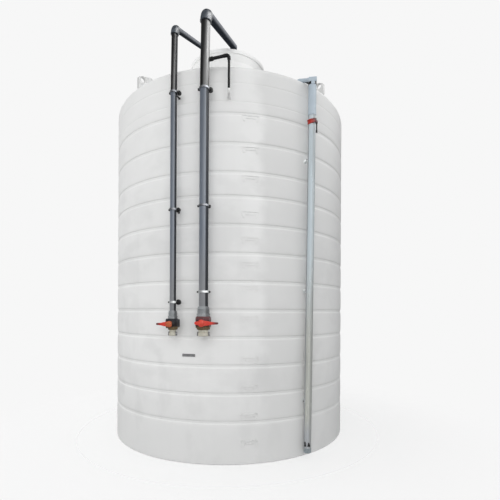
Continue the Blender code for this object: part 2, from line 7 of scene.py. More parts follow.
import math
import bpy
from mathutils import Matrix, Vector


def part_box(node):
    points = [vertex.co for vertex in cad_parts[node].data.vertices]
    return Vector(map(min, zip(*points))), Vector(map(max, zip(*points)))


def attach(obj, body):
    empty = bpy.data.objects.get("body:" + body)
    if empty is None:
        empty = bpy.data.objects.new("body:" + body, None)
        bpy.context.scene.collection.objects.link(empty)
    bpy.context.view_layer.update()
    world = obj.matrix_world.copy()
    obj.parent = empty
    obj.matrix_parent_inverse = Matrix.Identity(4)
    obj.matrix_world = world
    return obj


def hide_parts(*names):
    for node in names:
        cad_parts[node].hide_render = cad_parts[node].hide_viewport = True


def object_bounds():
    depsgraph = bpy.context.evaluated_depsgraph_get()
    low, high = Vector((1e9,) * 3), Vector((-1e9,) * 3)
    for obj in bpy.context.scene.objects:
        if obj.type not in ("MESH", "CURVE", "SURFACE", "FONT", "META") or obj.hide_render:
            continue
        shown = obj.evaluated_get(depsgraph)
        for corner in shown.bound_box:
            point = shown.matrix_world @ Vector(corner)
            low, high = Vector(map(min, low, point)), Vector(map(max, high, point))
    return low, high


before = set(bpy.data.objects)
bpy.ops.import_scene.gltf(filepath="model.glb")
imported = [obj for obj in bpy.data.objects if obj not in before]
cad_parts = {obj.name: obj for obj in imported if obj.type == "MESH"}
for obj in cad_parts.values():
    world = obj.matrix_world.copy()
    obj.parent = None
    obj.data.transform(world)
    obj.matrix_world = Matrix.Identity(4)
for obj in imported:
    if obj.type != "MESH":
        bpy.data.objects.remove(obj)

from types import SimpleNamespace

import bpy
from mathutils import Matrix, Vector

bl_info = {
    "name": "Storage Tank Dressing",
    "version": (1, 0, 0),
    "blender": (4, 5, 0),
    "location": "View3D > Sidebar > Tank",
    "description": "Models and finishes a moulded storage tank with risers and a level gauge",
    "category": "Object",
}

BODY = "tank_body"
UP = Vector((0.0, 0.0, 1.0))

# Turns +Z to -Y, away from the tank
OUTWARD = Matrix.Rotation(math.pi / 2, 4, "X")

CAD_LOW, CAD_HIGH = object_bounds()

# Heights of the moulded rings and of the two faint creases above them, over the tank's radius
RING_SHARES = (0.295, 0.484, 0.673, 0.864, 1.049, 1.241, 1.432, 1.625, 1.817, 1.978, 2.174, 2.373)
CREASE_SHARES = (2.445, 2.57)
CREASE_HALF_HEIGHT = 0.010
CREASE_DEPTH = 0.0018

# How far the dressed wall stays inside the solid wall
INSET = 0.0005

# Moulded tablets, one to a band, a little right of the front
TABLET_ANGLE = 10.3
TABLET_HEIGHTS = (3.515, 3.195, 2.904, 2.541, 2.280, 2.028, 1.787, 1.480, 1.063, 0.771, 0.489, 0.218)

TABLET_RELIEF = 0.0036
# Painted shade laid over each tablet, through the rings' mask
TABLET_SHADE = 0.24

# Roof and manway
SHOULDER_START = 2.655
SHOULDER_ROUNDING = 0.035
ROOF_PITCH = math.radians(28.0)
CROWN_SHARE = 0.42
MANWAY_BOLTS = 16
LUG_ANGLES = (-45.0, 51.0, 135.0, -129.0)
LUG_SHARES = (0.835, 0.945)
LUG_EYE_SHARES = (0.92, 2.796)
LUG_EYE_RADIUS = 0.03
LUG_THICKNESS = 0.036

# Height of the risers' top clips, where the glossy black pipe starts
TOP_CLIP = 3.725

# Fill risers: everything that differs between the two lines. The strip of painted shade down a pipe's
# side lies between two angles.
LINES = {
    "large": SimpleNamespace(
        angle=-6.57, distance=1.6245, pipe=0.045, socket=0.055, side=1, lean=0.41, corner=4.450,
        drop=(0.040, -0.162, 5.127), bend=0.092, drop_bend=0.045, lift=0.009,
        clips=(3.721, 2.580, 1.741), bosses=(0.025, 0.017, 0.014),
        union_top=1.597, valve_top=1.503, valve_bottom=1.370, valve_width=0.137,
        outlet_bottom=1.308, outlet=0.058, reach=0.165, tail=0.066, hub=0.035,
        crown=(0.14, 0.052, 0.056), hub_tint=(0.66, 0.070, 0.042),
        shade_span=(34.0, 112.0), shaded_top=False,
    ),
    "small": SimpleNamespace(
        angle=-18.05, distance=1.6155, pipe=0.0315, socket=0.0395, side=-1, lean=0.30, corner=4.360,
        drop=(-0.306, -0.162, 5.077), bend=0.066, drop_bend=0.045, lift=0.006,
        clips=(3.730, 2.563, 1.641), bosses=(0.023, 0.022, 0.027),
        union_top=1.556, valve_top=1.480, valve_bottom=1.366, valve_width=0.128,
        outlet_bottom=1.307, outlet=0.040, reach=0.145, tail=0.036, hub=0.031,
        crown=(0.030, 0.030, 0.036), hub_tint=(0.44, 0.145, 0.050),
        shade_span=(48.0, 126.0), shaded_top=True,
    ),
}

# How far pipes reach into fittings, the sloping runs' radius over the risers', and the collar of
# an elbow over its pipe's socket
TUCK = 0.01
RUN_SHARE = 0.92
TOP_COLLAR = 1.02
DROP_COLLAR = 0.80
FLANGE_BOLTS = 6
FLANGE_TURN = math.degrees(0.4)

# Level gauge, as angle round the tank, distance from its axis and height
GAUGE_FOOT = (34.48, 1.562, 0.053)
GAUGE_HEAD = (35.02, 1.600, 3.984)
GAUGE_RUN_PITCH = math.radians(24.5)
GAUGE_FRONT = -43.0

# The clear tube's inner and outer radius, the upper pipe's radius, and the saddles' two radii
GAUGE_TUBE = (0.0355, 0.0392)
GAUGE_PIPE = 0.0420
SADDLE = (0.0395, 0.0450)

# The pointer's place, tilt, inner radius and sweep to each side
POINTER_HEIGHT = 3.557
POINTER_TILT = math.radians(-14.0)
POINTER_INNER = 0.0445
POINTER_SWEEP = math.radians(118.0)

# The photograph's frame and where the level horizon crosses it
PHOTO_SIZE = 500.0
HORIZON_ROW = 311.38
FOCAL_PIXELS = 374.0
SENSOR_WIDTH = 36.0
CAMERA_SPOT = (0.2685, -5.262, 1.552)
CAMERA_ROLL = math.radians(-0.26)


def length_property(name, description, default):
    return bpy.props.FloatProperty(name=name, description=description, default=default, unit="LENGTH")


def steps_property(name, description, default):
    return bpy.props.IntProperty(name=name, description=description, default=default, min=12)


def colour_property(name, description, default):
    return bpy.props.FloatVectorProperty(
        name=name, description=description, default=default, size=3, min=0.0, max=1.0, subtype="COLOR"
    )


class ShellSizes(bpy.types.PropertyGroup):
    """Sizes of the moulded shell."""

    radius: length_property("Radius", "Outer radius of the wall", CAD_HIGH.x)
    ring_half_height: length_property("Ring half height", "Half a moulded ring's height", 0.021)
    ring_depth: length_property("Ring depth", "How far a ring is set into the wall", 0.0080)
    band_bulge: length_property("Band bulge", "How far a band swells between two rings", 0.0025)
    foot_rounding: length_property("Foot rounding", "Radius of the rounded foot", 0.016)
    facets: steps_property("Facets", "Steps round the wall", 216)


class LineSizes(bpy.types.PropertyGroup):
    """Sizes shared by the pipes and fittings."""

    sides: steps_property("Sides", "Steps round a pipe", 40)
    socket: length_property("Socket length", "Length of an elbow's socket", 0.018)
    collar: length_property("Collar length", "Length of a socket's mouth ring", 0.012)
    clip_height: length_property("Clip height", "Height of a pipe clip's band", 0.021)
    handle_thickness: length_property("Handle thickness", "Thickness of a valve's lever", 0.018)


class FinishColours(bpy.types.PropertyGroup):
    """Base colours of the finishes."""

    shell: colour_property("Shell", "Moulded shell", (0.83, 0.83, 0.82))
    pipe: colour_property("Pipe", "Riser pipes", (0.115, 0.135, 0.168))
    fitting: colour_property("Fitting", "Elbows", (0.060, 0.072, 0.088))
    union: colour_property("Union", "Ribbed unions", (0.34, 0.36, 0.37))
    clip: colour_property("Clip", "Clip bands", (0.78, 0.80, 0.80))
    valve: colour_property("Valve", "Valve bodies", (0.020, 0.017, 0.019))
    handle: colour_property("Handle", "Levers and pointer", (0.66, 0.050, 0.034))
    outlet: colour_property("Outlet", "Outlet couplings", (0.56, 0.54, 0.45))
    vent: colour_property("Vent", "Vent line", (0.012, 0.012, 0.013))
    gauge: colour_property("Gauge pipe", "Upper pipe of the gauge", (0.46, 0.53, 0.59))
    tube: colour_property("Gauge tube", "Clear tube of the gauge", (0.66, 0.74, 0.78))
    plate: colour_property("Plate", "Small plate on the wall", (0.20, 0.20, 0.205))


# Modelling


def begin(name, adder, **settings):
    """Adds a primitive with nothing else selected and opens it in edit mode."""
    bpy.ops.object.select_all(action="DESELECT")
    adder(**settings)
    piece = bpy.context.active_object
    piece.name = name
    piece.data.name = name
    bpy.ops.object.mode_set(mode="EDIT")
    return piece


def end(piece, place=None, sharp=32.0):
    """Closes edit mode with faces outwards, and puts the piece's place into its mesh."""
    bpy.ops.mesh.select_all(action="SELECT")
    bpy.ops.mesh.normals_make_consistent(inside=False)
    bpy.ops.object.mode_set(mode="OBJECT")
    if place is not None:
        piece.matrix_world = place @ piece.matrix_world
    bpy.ops.object.transform_apply(location=True, rotation=True, scale=True)
    bpy.ops.object.shade_smooth_by_angle(angle=math.radians(sharp))
    return piece


def trace(points):
    """Draws on from one vertex at the world's origin, a short extrusion to each point."""
    before = Vector(points[0])
    bpy.ops.transform.translate(value=before)
    for point in points[1:]:
        after = Vector(point)
        bpy.ops.mesh.extrude_region_move(TRANSFORM_OT_translate={"value": after - before})
        before = after


def begin_point(name):
    piece = begin(name, bpy.ops.mesh.primitive_plane_add, size=0.01)
    bpy.ops.mesh.merge(type="CENTER")
    return piece


def turned(name, profile, facets, place=None, sharp=32.0):
    """A profile of (radius, height) points, drawn and then spun all the way round Z."""
    piece = begin_point(name)
    trace([(radius, 0.0, height) for radius, height in profile])
    bpy.ops.mesh.select_all(action="SELECT")
    bpy.ops.mesh.spin(steps=facets, angle=2 * math.pi, center=(0, 0, 0), axis=(0, 0, 1))
    bpy.ops.mesh.select_all(action="SELECT")
    bpy.ops.mesh.remove_doubles(threshold=1e-5)
    return end(piece, place, sharp)


def block(name, loop, reach, place=None, edge=0.0):
    """A closed loop of points, filled and pulled out along reach, with its edges softened."""
    piece = begin_point(name)
    trace(list(loop) + [loop[0]])
    bpy.ops.mesh.select_all(action="SELECT")
    bpy.ops.mesh.remove_doubles(threshold=1e-6)
    bpy.ops.mesh.select_all(action="SELECT")
    bpy.ops.mesh.edge_face_add()
    bpy.ops.mesh.extrude_region_move(TRANSFORM_OT_translate={"value": reach})
    end(piece, place)
    if edge:
        soften(piece, edge)
    return piece


def select_only(*pieces):
    bpy.ops.object.select_all(action="DESELECT")
    for piece in pieces:
        piece.select_set(True)
    bpy.context.view_layer.objects.active = pieces[0]


def modify(piece, kind, **settings):
    """Gives a piece a modifier and applies it."""
    select_only(piece)
    modifier = piece.modifiers.new(kind.lower(), kind)
    for name, value in settings.items():
        setattr(modifier, name, value)
    bpy.ops.object.modifier_apply(modifier=modifier.name)


def slab(name, outline, front, depth, place=None, edge=0.0):
    """An outline of (x, z) points at y = front, made this deep."""
    return block(name, [(x, front, z) for x, z in outline], (0, depth, 0), place, edge)


def layer(name, outline, low, high, place=None, edge=0.0):
    """An outline of (x, y) points that stands from one height to another."""
    return block(name, [(x, y, low) for x, y in outline], (0, 0, high - low), place, edge)


def oblong(left, low, right, high):
    return [(left, low), (right, low), (right, high), (left, high)]


def soften(piece, width, steps=2):
    """Rounds a piece's sharp edges."""
    limit = math.radians(35.0)
    modify(piece, "BEVEL", width=width, segments=steps, limit_method="ANGLE", angle_limit=limit)
    bpy.ops.object.shade_smooth_by_angle(angle=math.radians(40.0))


def cut(piece, cutter):
    """Takes one piece's volume out of another."""
    modify(piece, "BOOLEAN", object=cutter, operation="DIFFERENCE", solver="EXACT")
    bpy.data.objects.remove(cutter)
    bpy.ops.object.shade_smooth_by_angle(angle=math.radians(32.0))


def piped(name, start, direction, radius, legs, normal=None, sides=40):
    """A round pipe drawn from a circle, leg by leg, and filled at both ends.

    A leg is ("go", length), ("taper", length, new radius) or ("bend", angle, bend radius).
    """
    centre = Vector(start)
    heading = Vector(direction).normalized()
    turn = heading.to_track_quat("Z", "Y").to_euler()
    piece = begin(
        name,
        bpy.ops.mesh.primitive_circle_add,
        vertices=sides,
        radius=radius,
        fill_type="NOTHING",
        location=centre,
        rotation=turn,
    )
    for leg in legs:
        if leg[0] == "bend":
            angle, bend = leg[1:]
            pivot = centre + normal.cross(heading) * bend
            steps = max(4, round(math.degrees(angle) / 6))
            bpy.ops.mesh.spin(steps=steps, angle=-angle, center=pivot, axis=normal)
            rotation = Matrix.Rotation(angle, 3, normal)
            centre = pivot + rotation @ (centre - pivot)
            heading = rotation @ heading
            continue
        bpy.ops.mesh.extrude_region_move(TRANSFORM_OT_translate={"value": heading * leg[1]})
        centre = centre + heading * leg[1]
        if leg[0] == "taper":
            share = leg[2] / radius
            radius = leg[2]
            bpy.ops.transform.resize(value=(share, share, share), center_override=centre)
    bpy.ops.mesh.select_all(action="SELECT")
    bpy.ops.mesh.fill_holes(sides=0)
    return end(piece)


def joined(name, pieces):
    select_only(*pieces)
    if len(pieces) > 1:
        bpy.ops.object.join()
    pieces[0].name = name
    pieces[0].data.name = name
    return pieces[0]


def copied(piece, place):
    """Another of a finished piece, with a mesh of its own."""
    copy = piece.copy()
    copy.data = piece.data.copy()
    copy.data.transform(place)
    bpy.context.collection.objects.link(copy)
    return copy


def settle(piece, slot, finish, *nodes, body=BODY):
    """Gives a piece its finish, by name or its own, its body and the nodes that it stands for."""
    piece.data.materials.clear()
    piece.data.materials.append(finishes()[finish] if isinstance(finish, str) else finish)
    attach(piece, body)
    if nodes:
        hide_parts(*nodes)


def arc(centre, radius, start, stop, steps):
    """Points (x, y) on an arc, angles in degrees."""
    points = []
    for step in range(steps + 1):
        turn = math.radians(start + (stop - start) * step / steps)
        points.append((centre[0] + radius * math.cos(turn), centre[1] + radius * math.sin(turn)))
    return points


def drum(radius, bottom, top, edge):
    """The profile of a closed round part with softened rims."""
    points = [(0.0, bottom)]
    points += arc((radius - edge, bottom + edge), edge, -90, 0, 3)
    points += arc((radius - edge, top - edge), edge, 0, 90, 3)
    return points + [(0.0, top)]


def scaled(shares, across, low, tall):
    """An outline from shares of a part's width and height."""
    return [(across * x, low + tall * z) for x, z in shares]


def fluted(radius, depth, flutes):
    """A round outline of (x, y) points with flutes cut into it."""
    points = []
    for step in range(flutes * 4):
        turn = 2 * math.pi * step / (flutes * 4)
        reach = radius - (depth if step % 4 in (0, 1) else 0.0)
        points.append((reach * math.cos(turn), reach * math.sin(turn)))
    return points


def nut(name, radius, bottom, top, flutes, place, edge=0.0015):
    """A fluted ring nut that stands between two heights."""
    return layer(name, fluted(radius, radius * 0.045, flutes), bottom, top, place, edge)


def mark_points(piece, name, amount):
    """Writes an amount for each point of a piece, for its finish to read."""
    attribute = piece.data.attributes.new(name, "FLOAT", "POINT")
    for index, vertex in enumerate(piece.data.vertices):
        attribute.data[index].value = amount(vertex.co)


def paint_stripe(piece, name, place, start, stop):
    """Marks a band of painted shade that runs up a round piece, between two angles from its front."""
    back = place.inverted()

    def amount(spot):
        spot = back @ spot
        return 1.0 if start < math.degrees(math.atan2(spot.x, -spot.y)) < stop else 0.0

    mark_points(piece, name, amount)


def paint_top_sheen(piece, start, heading):
    """Marks the upper side of a sloping pipe for a painted sheen, palest where it faces up."""

    def amount(spot):
        spot = spot - start
        outward = (spot - heading * spot.dot(heading)).normalized()
        return eased((outward.z + 0.72) / 0.72)

    mark_points(piece, "dust_shade_and_sheen", amount)


def shift(x, y, z):
    return Matrix.Translation((x, y, z))


def spun(angle):
    """A turn round the tank's axis, in degrees."""
    return Matrix.Rotation(math.radians(angle), 4, "Z")


def round_tank(angle, distance, height):
    """The frame of a piece at this angle round the tank, -Y away from the tank."""
    return spun(angle) @ shift(0.0, -distance, height)


def point_round(angle, distance, height):
    return round_tank(angle, distance, height).to_translation()


def point_on(foot, head, height):
    """Where a line from foot to head is at this height."""
    return foot + (head - foot) * (height - foot.z) / (head.z - foot.z)


def frame_on(foot, head, height):
    """A frame on a line at this height: Z up the line and -Y away from the tank."""
    up = (head - foot).normalized()
    centre = point_on(foot, head, height)
    out = Vector((centre.x, centre.y, 0.0)).normalized()
    across = out.cross(up).normalized() * -1.0
    turn = Matrix((across, up.cross(across), up)).transposed().to_4x4()
    return Matrix.Translation(centre) @ turn


def line_ends(size):
    """A riser's top clip and its corner. Above the clip the pipe leans a little."""
    clip = point_round(size.angle, size.distance, TOP_CLIP)
    corner = point_round(size.angle + size.lean, size.distance, size.corner)
    return clip, corner


# Shader patterns


def put(tree, socket, value):
    """Gives a socket its value, or links it."""
    if isinstance(value, Amount):
        value = value.socket
    if isinstance(value, bpy.types.NodeSocket):
        tree.links.new(value, socket)
    else:
        socket.default_value = value


def add_node(tree, kind, settings=None, sockets=None):
    """A node with its settings, and with the values or links of its sockets."""
    made = tree.nodes.new(kind)
    for name, value in (settings or {}).items():
        setattr(made, name, value)
    for socket, value in (sockets or {}).items():
        put(tree, made.inputs[socket], value)
    return made


class Amount:
    """A number that varies over a surface. Sums on it add Math nodes."""

    def __init__(self, finish, socket):
        self.finish = finish
        self.socket = socket

    def sum(self, operation, one, other):
        made = self.finish.node("Math", {"operation": operation}, {0: one, 1: other})
        return Amount(self.finish, made.outputs[0])

    def __add__(self, other):
        return self.sum("ADD", self, other)

    def __radd__(self, other):
        return self.sum("ADD", other, self)

    def __sub__(self, other):
        return self.sum("SUBTRACT", self, other)

    def __rsub__(self, other):
        return self.sum("SUBTRACT", other, self)

    def __mul__(self, other):
        return self.sum("MULTIPLY", self, other)

    def __rmul__(self, other):
        return self.sum("MULTIPLY", other, self)


class Finish:
    """A procedural material round one Principled shader."""

    def __init__(self, name, constants):
        self.material = bpy.data.materials.new(name)
        self.material.use_nodes = True
        self.tree = self.material.node_tree
        self.shader = self.tree.nodes["Principled BSDF"]
        for socket, value in constants.items():
            self.shader.inputs[socket].default_value = value
        self.place = self.node("TexCoord").outputs["Object"]

    def node(self, kind, settings=None, sockets=None):
        return add_node(self.tree, "ShaderNode" + kind, settings, sockets)

    def noise(self, scale, detail=3.0, stretch=(1.0, 1.0, 1.0)):
        mapped = self.node("Mapping", None, {"Vector": self.place, "Scale": stretch})
        sockets = {"Vector": mapped.outputs[0], "Scale": scale, "Detail": detail}
        return Amount(self, self.node("TexNoise", None, sockets).outputs[0])

    def between(self, value, low, high):
        """0 up to low and 1 from high, smooth between them."""
        settings = {"interpolation_type": "SMOOTHSTEP"}
        made = self.node("MapRange", settings, {0: value, 1: low, 2: high})
        return Amount(self, made.outputs[0])

    def attribute(self, name):
        return Amount(self, self.node("Attribute", {"attribute_name": name}).outputs["Fac"])

    def along(self, axis):
        return Amount(self, self.node("SeparateXYZ", None, {0: self.place}).outputs[axis])

    def height(self):
        return self.along(2)

    def away_from(self, point):
        """Distance from a point of the piece."""
        made = self.node("VectorMath", {"operation": "DISTANCE"}, {0: self.place, 1: point})
        return Amount(self, made.outputs["Value"])

    def layered(self, body, *layers):
        """A colour with others laid over it in turn, each as (share, colour)."""
        for share, colour in layers:
            body = self.node("Mix", {"data_type": "RGBA"}, {0: share, 6: body, 7: colour}).outputs[2]
        return body

    def feed(self, socket, value):
        put(self.tree, self.shader.inputs[socket], value)

    def dressed(self, body, roughness, relief, strength=0.5):
        """The material with its colour, its roughness and its relief in metres."""
        self.feed("Base Color", body)
        self.feed("Roughness", roughness)
        sockets = {"Strength": strength, "Distance": 1.0, "Height": relief}
        self.feed("Normal", self.node("Bump", None, sockets).outputs[0])
        return self.material


def tone(colour, share=1.0):
    """A colour made lighter or darker, with full alpha."""
    return tuple(min(1.0, channel * share) for channel in colour[:3]) + (1.0,)


def shell_finish(colour, name="moulded_shell_finish"):
    """Satin moulded plastic: slow clouding and faint run marks, slightly lighter and less marked towards
    the top and darker towards the bottom, with painted shade under each ring's upper edge, in the
    creases and down the right side, and a painted highlight on each ring's lower edge.
    """
    made = Finish(name, {"Specular IOR Level": 0.12})
    cloud = made.noise(0.85)
    runs = made.noise(1.0, 6.0, (7.0, 7.0, 0.30))
    patch = made.noise(2.4, 6.0, (1.0, 1.0, 1.5))
    smear = made.noise(3.6, 6.0, (1.0, 1.0, 0.6))
    ripple = made.noise(2.6, 2.0)
    grain = made.noise(42.0)
    speck = made.noise(260.0, 2.0)
    # Painted shade under each ring's upper edge and a painted highlight on its lower edge, read from the
    # points
    groove_shade_and_highlight = made.attribute("groove_shade_and_highlight")
    level = made.height()
    dust_shade_and_sheen = made.between(groove_shade_and_highlight, 0.0, 1.0) * (0.35 + 0.9 * runs)
    lower_edge_highlight = made.between(-1.0 * groove_shade_and_highlight, 0.0, 1.0)
    marks = made.between(runs, 0.50, 0.78) * 0.18 + made.between(cloud, 0.48, 0.66) * 0.34
    marks = marks + made.between(patch, 0.46, 0.62) * 0.42
    # Slightly lighter and less marked towards the top
    clearer_top = made.between(level + 0.25 * patch, 3.15, 3.95)
    # Painted shade down the right side of the wall, easing off towards the far right
    right_shade_reach = made.along(0) + 0.34 * patch - 0.17
    right_shade_easing = 1.0 - 0.55 * made.between(right_shade_reach, 0.66, 1.10)
    # Darker towards the bottom
    darker_low = 1.0 - made.between(level + 0.3 * patch, 0.20, 1.25)
    smudge = made.between(smear, 0.50, 0.66) * (1.0 - made.between(level, 0.8, 2.1))
    upper_edge_shade = tuple(channel * share for channel, share in zip(colour, (0.62, 0.61, 0.60)))
    body = made.layered(
        tone(colour),
        (clearer_top, tone(colour, 1.01)),
        (marks * (1.0 - 0.75 * clearer_top), tone(colour, 0.88)),
        # Painted shade down the right side
        (made.between(right_shade_reach, 0.31, 0.46) * right_shade_easing * 0.70, tone(colour, 0.80)),
        (darker_low * 0.75, tone(colour, 0.84)),
        (smudge * 0.30, tone(colour, 0.76)),
        # Painted shade in the rings, then a painted highlight on their lower edges
        (dust_shade_and_sheen * 0.18, tone(upper_edge_shade)),
        (lower_edge_highlight * 0.22, tone(colour, 1.10)),
        (made.between(speck, 0.66, 0.80) * 0.10, tone(colour, 0.72)),
    )
    roughness = 0.42 + 0.14 * grain + 0.10 * dust_shade_and_sheen + 0.08 * cloud
    return made.dressed(body, roughness, 0.0030 * ripple + 0.00045 * grain + 0.00012 * speck, 0.55)


def pipe_skin(made, bloom, stretch=(30.0, 30.0, 0.8)):
    """A pipe's chalk and scuffs, and the roughness and relief that they and its draw lines make."""
    draw = made.noise(1.0, 6.0, stretch)
    scuff = made.noise(38.0, 4.0, (1.0, 1.0, 0.35))
    chalk = made.between(bloom, 0.42, 0.75) * 0.30 + made.between(draw, 0.45, 0.72) * 0.25
    marks = made.between(scuff, 0.63, 0.72) * 0.30
    roughness = 0.36 + 0.12 * bloom + 0.12 * draw + 0.15 * marks
    return chalk, marks, roughness, 0.00025 * draw + 0.0002 * scuff


def riser_finish(colour):
    """Extruded pipe: neutral and chalky low down, bluer above and glossy black over its top clip, with a
    near-black strip of painted shade, without coat, down its right side.
    """
    constants = {"Coat Roughness": 0.34, "Coat IOR": 1.9, "Specular IOR Level": 0.2}
    made = Finish("riser_pipe_finish", constants)
    chalk, marks, roughness, relief = pipe_skin(made, made.noise(4.5, 5.0))
    level = made.height()
    over = made.between(level, TOP_CLIP - 0.010, TOP_CLIP + 0.010)
    painted_shade = made.attribute("painted_shade")
    body = made.layered(
        (0.235, 0.24, 0.25, 1.0),
        (made.between(level, 1.6, 2.4), tone(colour, 1.25)),
        (made.between(level, 2.3, 3.6), tone(colour, 0.95)),
        (chalk * 0.5, tone(colour, 1.8)),
        (marks, tone(colour, 2.2)),
        (over, made.layered(tone(colour, 0.01), (chalk, tone(colour, 0.06)))),
        # Painted shade: near black down the pipe's right side
        (painted_shade * 0.9, tone(colour, 0.08)),
    )
    # No coat where the shade is painted
    made.feed("Coat Weight", (0.55 + 0.40 * over) * (1.0 - painted_shade))
    return made.dressed(body, roughness, relief)


def pipe_finish(name, colour, specular, stretch=(30.0, 30.0, 0.8)):
    """Extruded pipe: long fine draw lines, a chalky bloom, scattered scuffs and a painted sheen where
    its top is marked.
    """
    made = Finish(name, {"Specular IOR Level": specular})
    bloom = made.noise(4.5, 5.0)
    chalk, marks, roughness, relief = pipe_skin(made, bloom, stretch)
    body = made.layered(
        tone(colour),
        (chalk * 0.5, tone(colour, 1.25)),
        (marks, tone(colour, 1.5)),
        # Painted sheen on the marked upper side
        (made.attribute("dust_shade_and_sheen") * (0.8 + 0.4 * bloom), (0.37, 0.38, 0.41, 1.0)),
    )
    return made.dressed(body, roughness, relief)


def cast_finish(name, colour, roughness=0.42, coat=0.08, fleck=1.6):
    """Moulded fittings: a fine pebbled skin with paler handling wear, and painted shade on a side marked
    for it.
    """
    made = Finish(name, {"Coat Weight": coat, "Coat Roughness": 0.3, "Specular IOR Level": 0.5})
    skin = made.noise(190.0)
    wear = made.noise(16.0, 5.0)
    body = made.layered(
        tone(colour, 0.9),
        (made.between(wear, 0.50, 0.78) * 0.5, tone(colour, fleck)),
        # Painted shade on a side marked for it
        (made.attribute("painted_shade") * 0.75, tone(colour, 0.25)),
    )
    return made.dressed(body, roughness + 0.16 * wear - 0.05 * skin, 0.00022 * skin + 0.0006 * wear)


def valve_finish(name, colour, crown, middle, half):
    """A dark casting that turns maroon towards its top collar and olive brown below."""
    made = Finish(name, {"Coat Weight": 0.05, "Coat Roughness": 0.3, "Specular IOR Level": 0.25})
    skin = made.noise(190.0)
    wear = made.noise(22.0, 5.0)
    level = made.height() + 0.02 * wear
    body = made.layered(
        tone(colour),
        (made.between(level, middle + half * 0.35, middle + half * 0.75), tone(crown)),
        (made.between(middle - half * 0.15 - level, 0.0, half * 0.35), (0.15, 0.105, 0.050, 1.0)),
        (made.between(wear, 0.52, 0.78) * 0.35, (0.10, 0.09, 0.095, 1.0)),
    )
    return made.dressed(body, 0.34 + 0.2 * wear, 0.00022 * skin + 0.0006 * wear)


def lever_finish(name, colour, hub_tint, hub, reach):
    """Orange-red moulding, of another tone at its hub and darker towards its tip."""
    made = Finish(name, {"Coat Weight": 0.05, "Coat Roughness": 0.25, "Specular IOR Level": 0.3})
    wear = made.noise(34.0, 5.0)
    skin = made.noise(320.0, 2.0)
    along = made.away_from(hub)
    # Darker towards the tip
    darkening = made.between(along + 0.03 * wear, reach * 0.70, reach * 1.02)
    body = made.layered(
        tone(hub_tint),
        (made.between(along, reach * 0.12, reach * 0.40), tone(colour)),
        (darkening * 0.9, (0.075, 0.035, 0.04, 1.0)),
        (made.between(wear, 0.62, 0.8) * 0.4, tone(colour, 0.55)),
    )
    return made.dressed(body, 0.36 + 0.2 * wear, 0.00015 * skin + 0.0005 * wear)


def metal_finish(name, colour, roughness):
    """Plated steel with a soft brushed run and dull spots."""
    made = Finish(name, {"Metallic": 0.85})
    brush = made.noise(1.0, 5.0, (40.0, 40.0, 320.0))
    spots = made.noise(55.0, 4.0)
    dull = made.between(spots, 0.52, 0.74)
    body = made.layered(tone(colour, 1.1), (dull * 0.5, tone(colour, 0.62)))
    return made.dressed(body, roughness + 0.16 * brush + 0.2 * dull, 0.00018 * brush + 0.0002 * spots)


def clear_finish(name, colour):
    """Milky clear tube: long residue streaks, a tinted lower half, a painted shadow line down its left
    edge and painted shade down its right side.
    """
    constants = {"Transmission Weight": 0.25, "IOR": 1.30, "Coat Weight": 0.15, "Coat Roughness": 0.2}
    made = Finish(name, constants)
    film = made.noise(1.0, 4.0, (16.0, 16.0, 0.9))
    streaks = made.between(film, 0.40, 0.70)
    low = 1.0 - made.between(made.height(), 1.1, 2.3)
    dregs = 1.0 - made.between(made.height(), 0.22, 0.46)
    lower = made.layered(
        (0.66, 0.67, 0.62, 1.0),
        (streaks, (0.48, 0.49, 0.46, 1.0)),
        (dregs * 0.8, (0.50, 0.52, 0.56, 1.0)),
    )
    body = made.layered(
        tone(colour, 1.05),
        (streaks, tone(colour, 0.78)),
        (low, lower),
        # Painted shade down the right side, stronger over the lower half
        (made.attribute("shade") * (0.35 + 0.35 * low), (0.40, 0.41, 0.40, 1.0)),
        # A painted shadow line down the left edge
        (made.attribute("painted_shadow_line"), (0.40, 0.42, 0.44, 1.0)),
    )
    return made.dressed(body, 0.18 + 0.20 * film, 0.0003 * film, 0.3)


def floor_finish():
    """Pale matt floor that fades out towards its rim, so that no horizon shows."""
    made = Finish("floor_finish", {"Roughness": 0.9, "Specular IOR Level": 0.1})
    pale, paler = (0.92, 0.92, 0.915, 1.0), (0.95, 0.95, 0.945, 1.0)
    made.feed("Base Color", made.layered(paler, (made.noise(0.7) * 0.25, pale)))
    reach = made.away_from((0.0, 0.0, 0.0))
    made.feed("Alpha", 0.30 - 0.30 * made.between(reach, 1.4, 3.9))
    return made.material


FINISHES = {}


